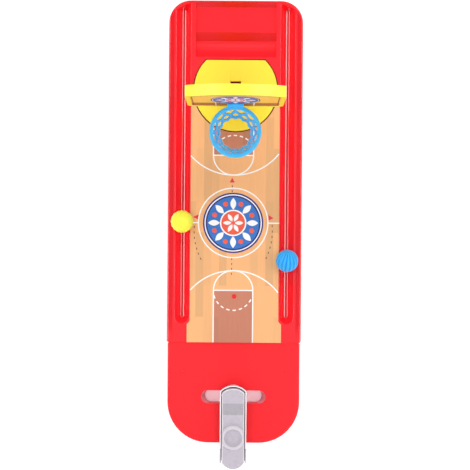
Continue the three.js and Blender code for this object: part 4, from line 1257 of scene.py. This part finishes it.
def court_lines():
    ink = Ink("court", 2)
    half = line_width / 2
    across, along = circle_centre
    ink.ribbon(circle(circle_centre, circle_radius), line_width, closed=True)
    left, right = court_sides
    for start, stop in ((left, across - circle_radius), (across + circle_radius, right)):
        ink.ribbon([(start, along), (stop, along)], line_width)
    for end, bow, seam in (("lower", 180, sheet_low.y), ("upper", -180, upper_end)):
        left, right = key_sides[end]
        line = free_throws[end]
        ink.ribbon([(left - half, line), (right + half, line)], line_width)
        reach = (right - left) / 2
        curve = arc(((left + right) / 2, line), reach, 0, bow, 49)
        flatter = [(u, line + (v - line) * semicircle_reach / reach) for u, v in curve]
        ink.ribbon(flatter, line_width)
        for edge in (left, right):
            ink.ribbon([(edge, seam), (edge, line)], line_width)
    for points in long_arcs:
        ink.ribbon(arc_through(*points), line_width)
    for points, gap in dashed_arcs:
        dashes(ink, arc_through(*points), arc_dash, gap, line_width)
    ink.piece("lines", white_ink)


def court_marks():
    Ink("court", 1).slabs(*court_arrows).piece("arrows", red_ink)
    paths = Ink("court", 1)
    for ends in straight_paths:
        dashes(paths, ends, *straight_dash, path_width)
    for points in bent_paths:
        dashes(paths, arc_through(*points), *bent_dash, path_width)
    paths.piece("paths", dark_ink)


def card_outline(inset):
    """(u, v) points round the card, this far inside its edge, from the lower right corner."""
    card_half = (card_high.x - card_low.x) / 2
    half = card_half - inset
    bottom, crown = card_low.z + inset, card_high.z - inset
    rise = card_rise * half / card_half
    reach = (half**2 + rise**2) / (2 * rise)
    tip = math.degrees(math.asin(half / reach))
    arch = arc((0.0, crown - reach), reach, 90 - tip, 90 + tip, 41)
    soft = max(card_corner - inset, least_corner)
    right = arc((half - soft, bottom + soft), soft, 270, 360, 9)
    left = arc((-half + soft, bottom + soft), soft, 180, 270, 9)
    return [*right, *arch, *left]


def card_print():
    lower = [(u, min(v, band_top)) for u, v in card_outline(0.0)]
    band = [point for i, point in enumerate(lower) if point != lower[i - 1]]
    Ink("card", 1).slabs(band).piece("band", band_ink)
    # The dark border stands both for a printed border and for painted shade where the frame's rim
    # meets the card.
    border = Ink("card", 2).ribbon(card_outline(border_inset), border_width, closed=True)
    border.ribbon([(u, band_top) for u in (-band_line_half, band_line_half)], band_line_width)
    border.piece("border", dark_ink)
    left, right, bottom, top = shooters_square
    square = [(left, bottom), (left, top), (right, top), (right, bottom)]
    Ink("card", 2).ribbon(square, line_width).piece("square", white_ink)


def petal(centre, inner, outer, half_width, angle):
    """A pointed leaf from an inner to an outer radius."""
    shares = [i / petal_steps for i in range(petal_steps + 1)]
    along = [inner + (outer - inner) * share for share in shares]
    across = [half_width * math.sin(math.pi * share) ** petal_fullness for share in shares]
    right = list(zip(along, across))
    left = [(a, -b) for a, b in reversed(right[1:-1])]
    x, y = centre
    cos, sin = math.cos(angle), math.sin(angle)
    return [(x + a * cos - b * sin, y + a * sin + b * cos) for a, b in right + left]


def badge(sheet, centre, radius):
    """A plain round rosette: petals, studs and a knot on a dark disc."""
    unit = radius / drawn_radius

    def petals(count, shape):
        sizes = [size * unit for size in shape]
        return [petal(centre, *sizes, TURN * i / count) for i in range(count)]

    Ink(sheet, 3).slabs(circle(centre, radius)).piece("badge_disc", navy_ink)
    Ink(sheet, 4).slabs(circle(centre, field_radius * unit)).piece("badge_field", sky_ink)
    rings = Ink(sheet, 5)
    rings.ribbon(circle(centre, ring_radius * unit), ring_width * unit, closed=True)
    rings.slabs(*petals(petal_count, petal_shape), circle(centre, core_radius * unit, 64))
    rings.piece("badge_rings", white_ink)
    middle = Ink(sheet, 6).slabs(circle(centre, hub_radius * unit, 64))
    for i in range(petal_count):
        spot = polar(centre, stud_reach * unit, TURN * (i + 0.5) / petal_count)
        middle.slabs(circle(spot, stud_radius * unit, 24))
    middle.piece("badge_middle", orange_ink)
    Ink(sheet, 7).slabs(*petals(knot_count, knot_shape)).piece("badge_knot", white_ink)


court_keys()
court_lines()
court_marks()
card_print()
badge("court", circle_centre, court_badge_radius)
badge("card", card_badge_centre, card_badge_radius)


# Stage, light and camera

def add_floor():
    half = floor_half
    corners = [(-half, -half, 0), (half, -half, 0), (half, half, 0), (-half, half, 0)]
    floor = object_from("floor", corners, [[0, 1, 2, 3]])
    made, tree, place = new_material("floor")
    white = (floor_white, floor_white, floor_white, 1.0)
    plain = add(tree, "ShaderNodeBsdfDiffuse", inputs={"Color": white})
    away = away_from_toy(tree, place)
    # Under the toy the lift turns pink and stronger: painted light for the red glow beneath the
    # panel.
    tint = mixed(tree, away, painted_glow_under_toy, (1.0, 1.0, 1.0, 1.0))
    reach = reach_from(tree, place, (0.0, 0.0))
    far = smooth_step(tree, reach, *metres(floor_fade), floor_gain, 1.0)
    near = spread(tree, away, painted_glow_gain, floor_gain)
    gain = seen_only(tree, maths(tree, "MAXIMUM", near, far))
    lift = add(tree, "ShaderNodeEmission", inputs={"Color": tint, "Strength": gain})
    both = add(tree, "ShaderNodeAddShader", inputs={0: plain.outputs[0], 1: lift.outputs[0]})
    fill(tree.nodes["Material Output"], {"Surface": both.outputs[0]})
    tree.nodes.remove(tree.nodes["Principled BSDF"])
    floor.data.materials.append(made)


def away_from_toy(tree, place):
    """0 under the toy and 1 clear of it."""
    sides = []
    for axis, near, far in zip("XY", cad_low / MM, cad_high / MM):
        middle, half = (near + far) / 2, (far - near) / 2
        off = maths(tree, "SUBTRACT", axes(tree, place)[axis], middle * MM)
        edge = metres(half - inside for inside in under_edge)
        sides.append(ramp(tree, maths(tree, "ABSOLUTE", off), *edge))
    return maths(tree, "MAXIMUM", *sides)


def seen_only(tree, strength):
    """The strength for what is seen, mirrored or seen through, and none for the rest."""
    path = add(tree, "ShaderNodeLightPath").outputs
    seen = path["Is Camera Ray"]
    for other in ("Is Glossy Ray", "Is Transmission Ray"):
        seen = maths(tree, "MAXIMUM", seen, path[other])
    return maths(tree, "MULTIPLY", seen, strength)


def add_world():
    """A pale room: dim overhead, with a bright strip along each side that gloss can mirror."""
    world = bpy.data.worlds.new("world")
    world.use_nodes = True
    bpy.context.scene.world = world
    tree = world.node_tree
    aim = add(tree, "ShaderNodeTexCoord").outputs["Generated"]
    up = axes(tree, aim)["Z"]
    strip = all_of(
        tree,
        smooth_step(tree, up, *strip_starts),
        smooth_step(tree, up, *strip_ends, 1.0, 0.0),
        smooth_step(tree, aside(tree, aim), *strip_aside),
    )
    dim = smooth_step(tree, up, *room_dims, room_sides, room_zenith)
    mirrored = maths(tree, "MULTIPLY_ADD", strip, room_strip, dim)
    path = add(tree, "ShaderNodeLightPath").outputs
    lit = blend(tree, path["Is Glossy Ray"], room_ambient, mirrored)
    lit = blend(tree, path["Is Camera Ray"], lit, 1.0)
    fill(tree.nodes["Background"], {"Color": (1.0, 1.0, 1.0, 1.0), "Strength": lit})


def add_light(name, place, aim, size, power):
    data = bpy.data.lights.new(name, "AREA")
    data.shape = "RECTANGLE"
    data.size, data.size_y = metres(size)
    data.energy = power
    made = new_object(name, data, place)
    made.rotation_euler = (Vector(aim) * MM - made.location).to_track_quat("-Z", "Y").to_euler()
    made.visible_camera = False
    made.visible_glossy = False


def add_camera():
    data = bpy.data.cameras.new("camera")
    data.lens = camera_lens
    made = new_object("camera", data, camera_place)
    made.rotation_euler = (0.0, 0.0, camera_roll)
    bpy.context.scene.camera = made


add_floor()
add_world()
for lamp_name, lamp in LAMPS.items():
    add_light(lamp_name, *lamp)
add_camera()
bpy.context.scene.view_settings.view_transform = "Standard"
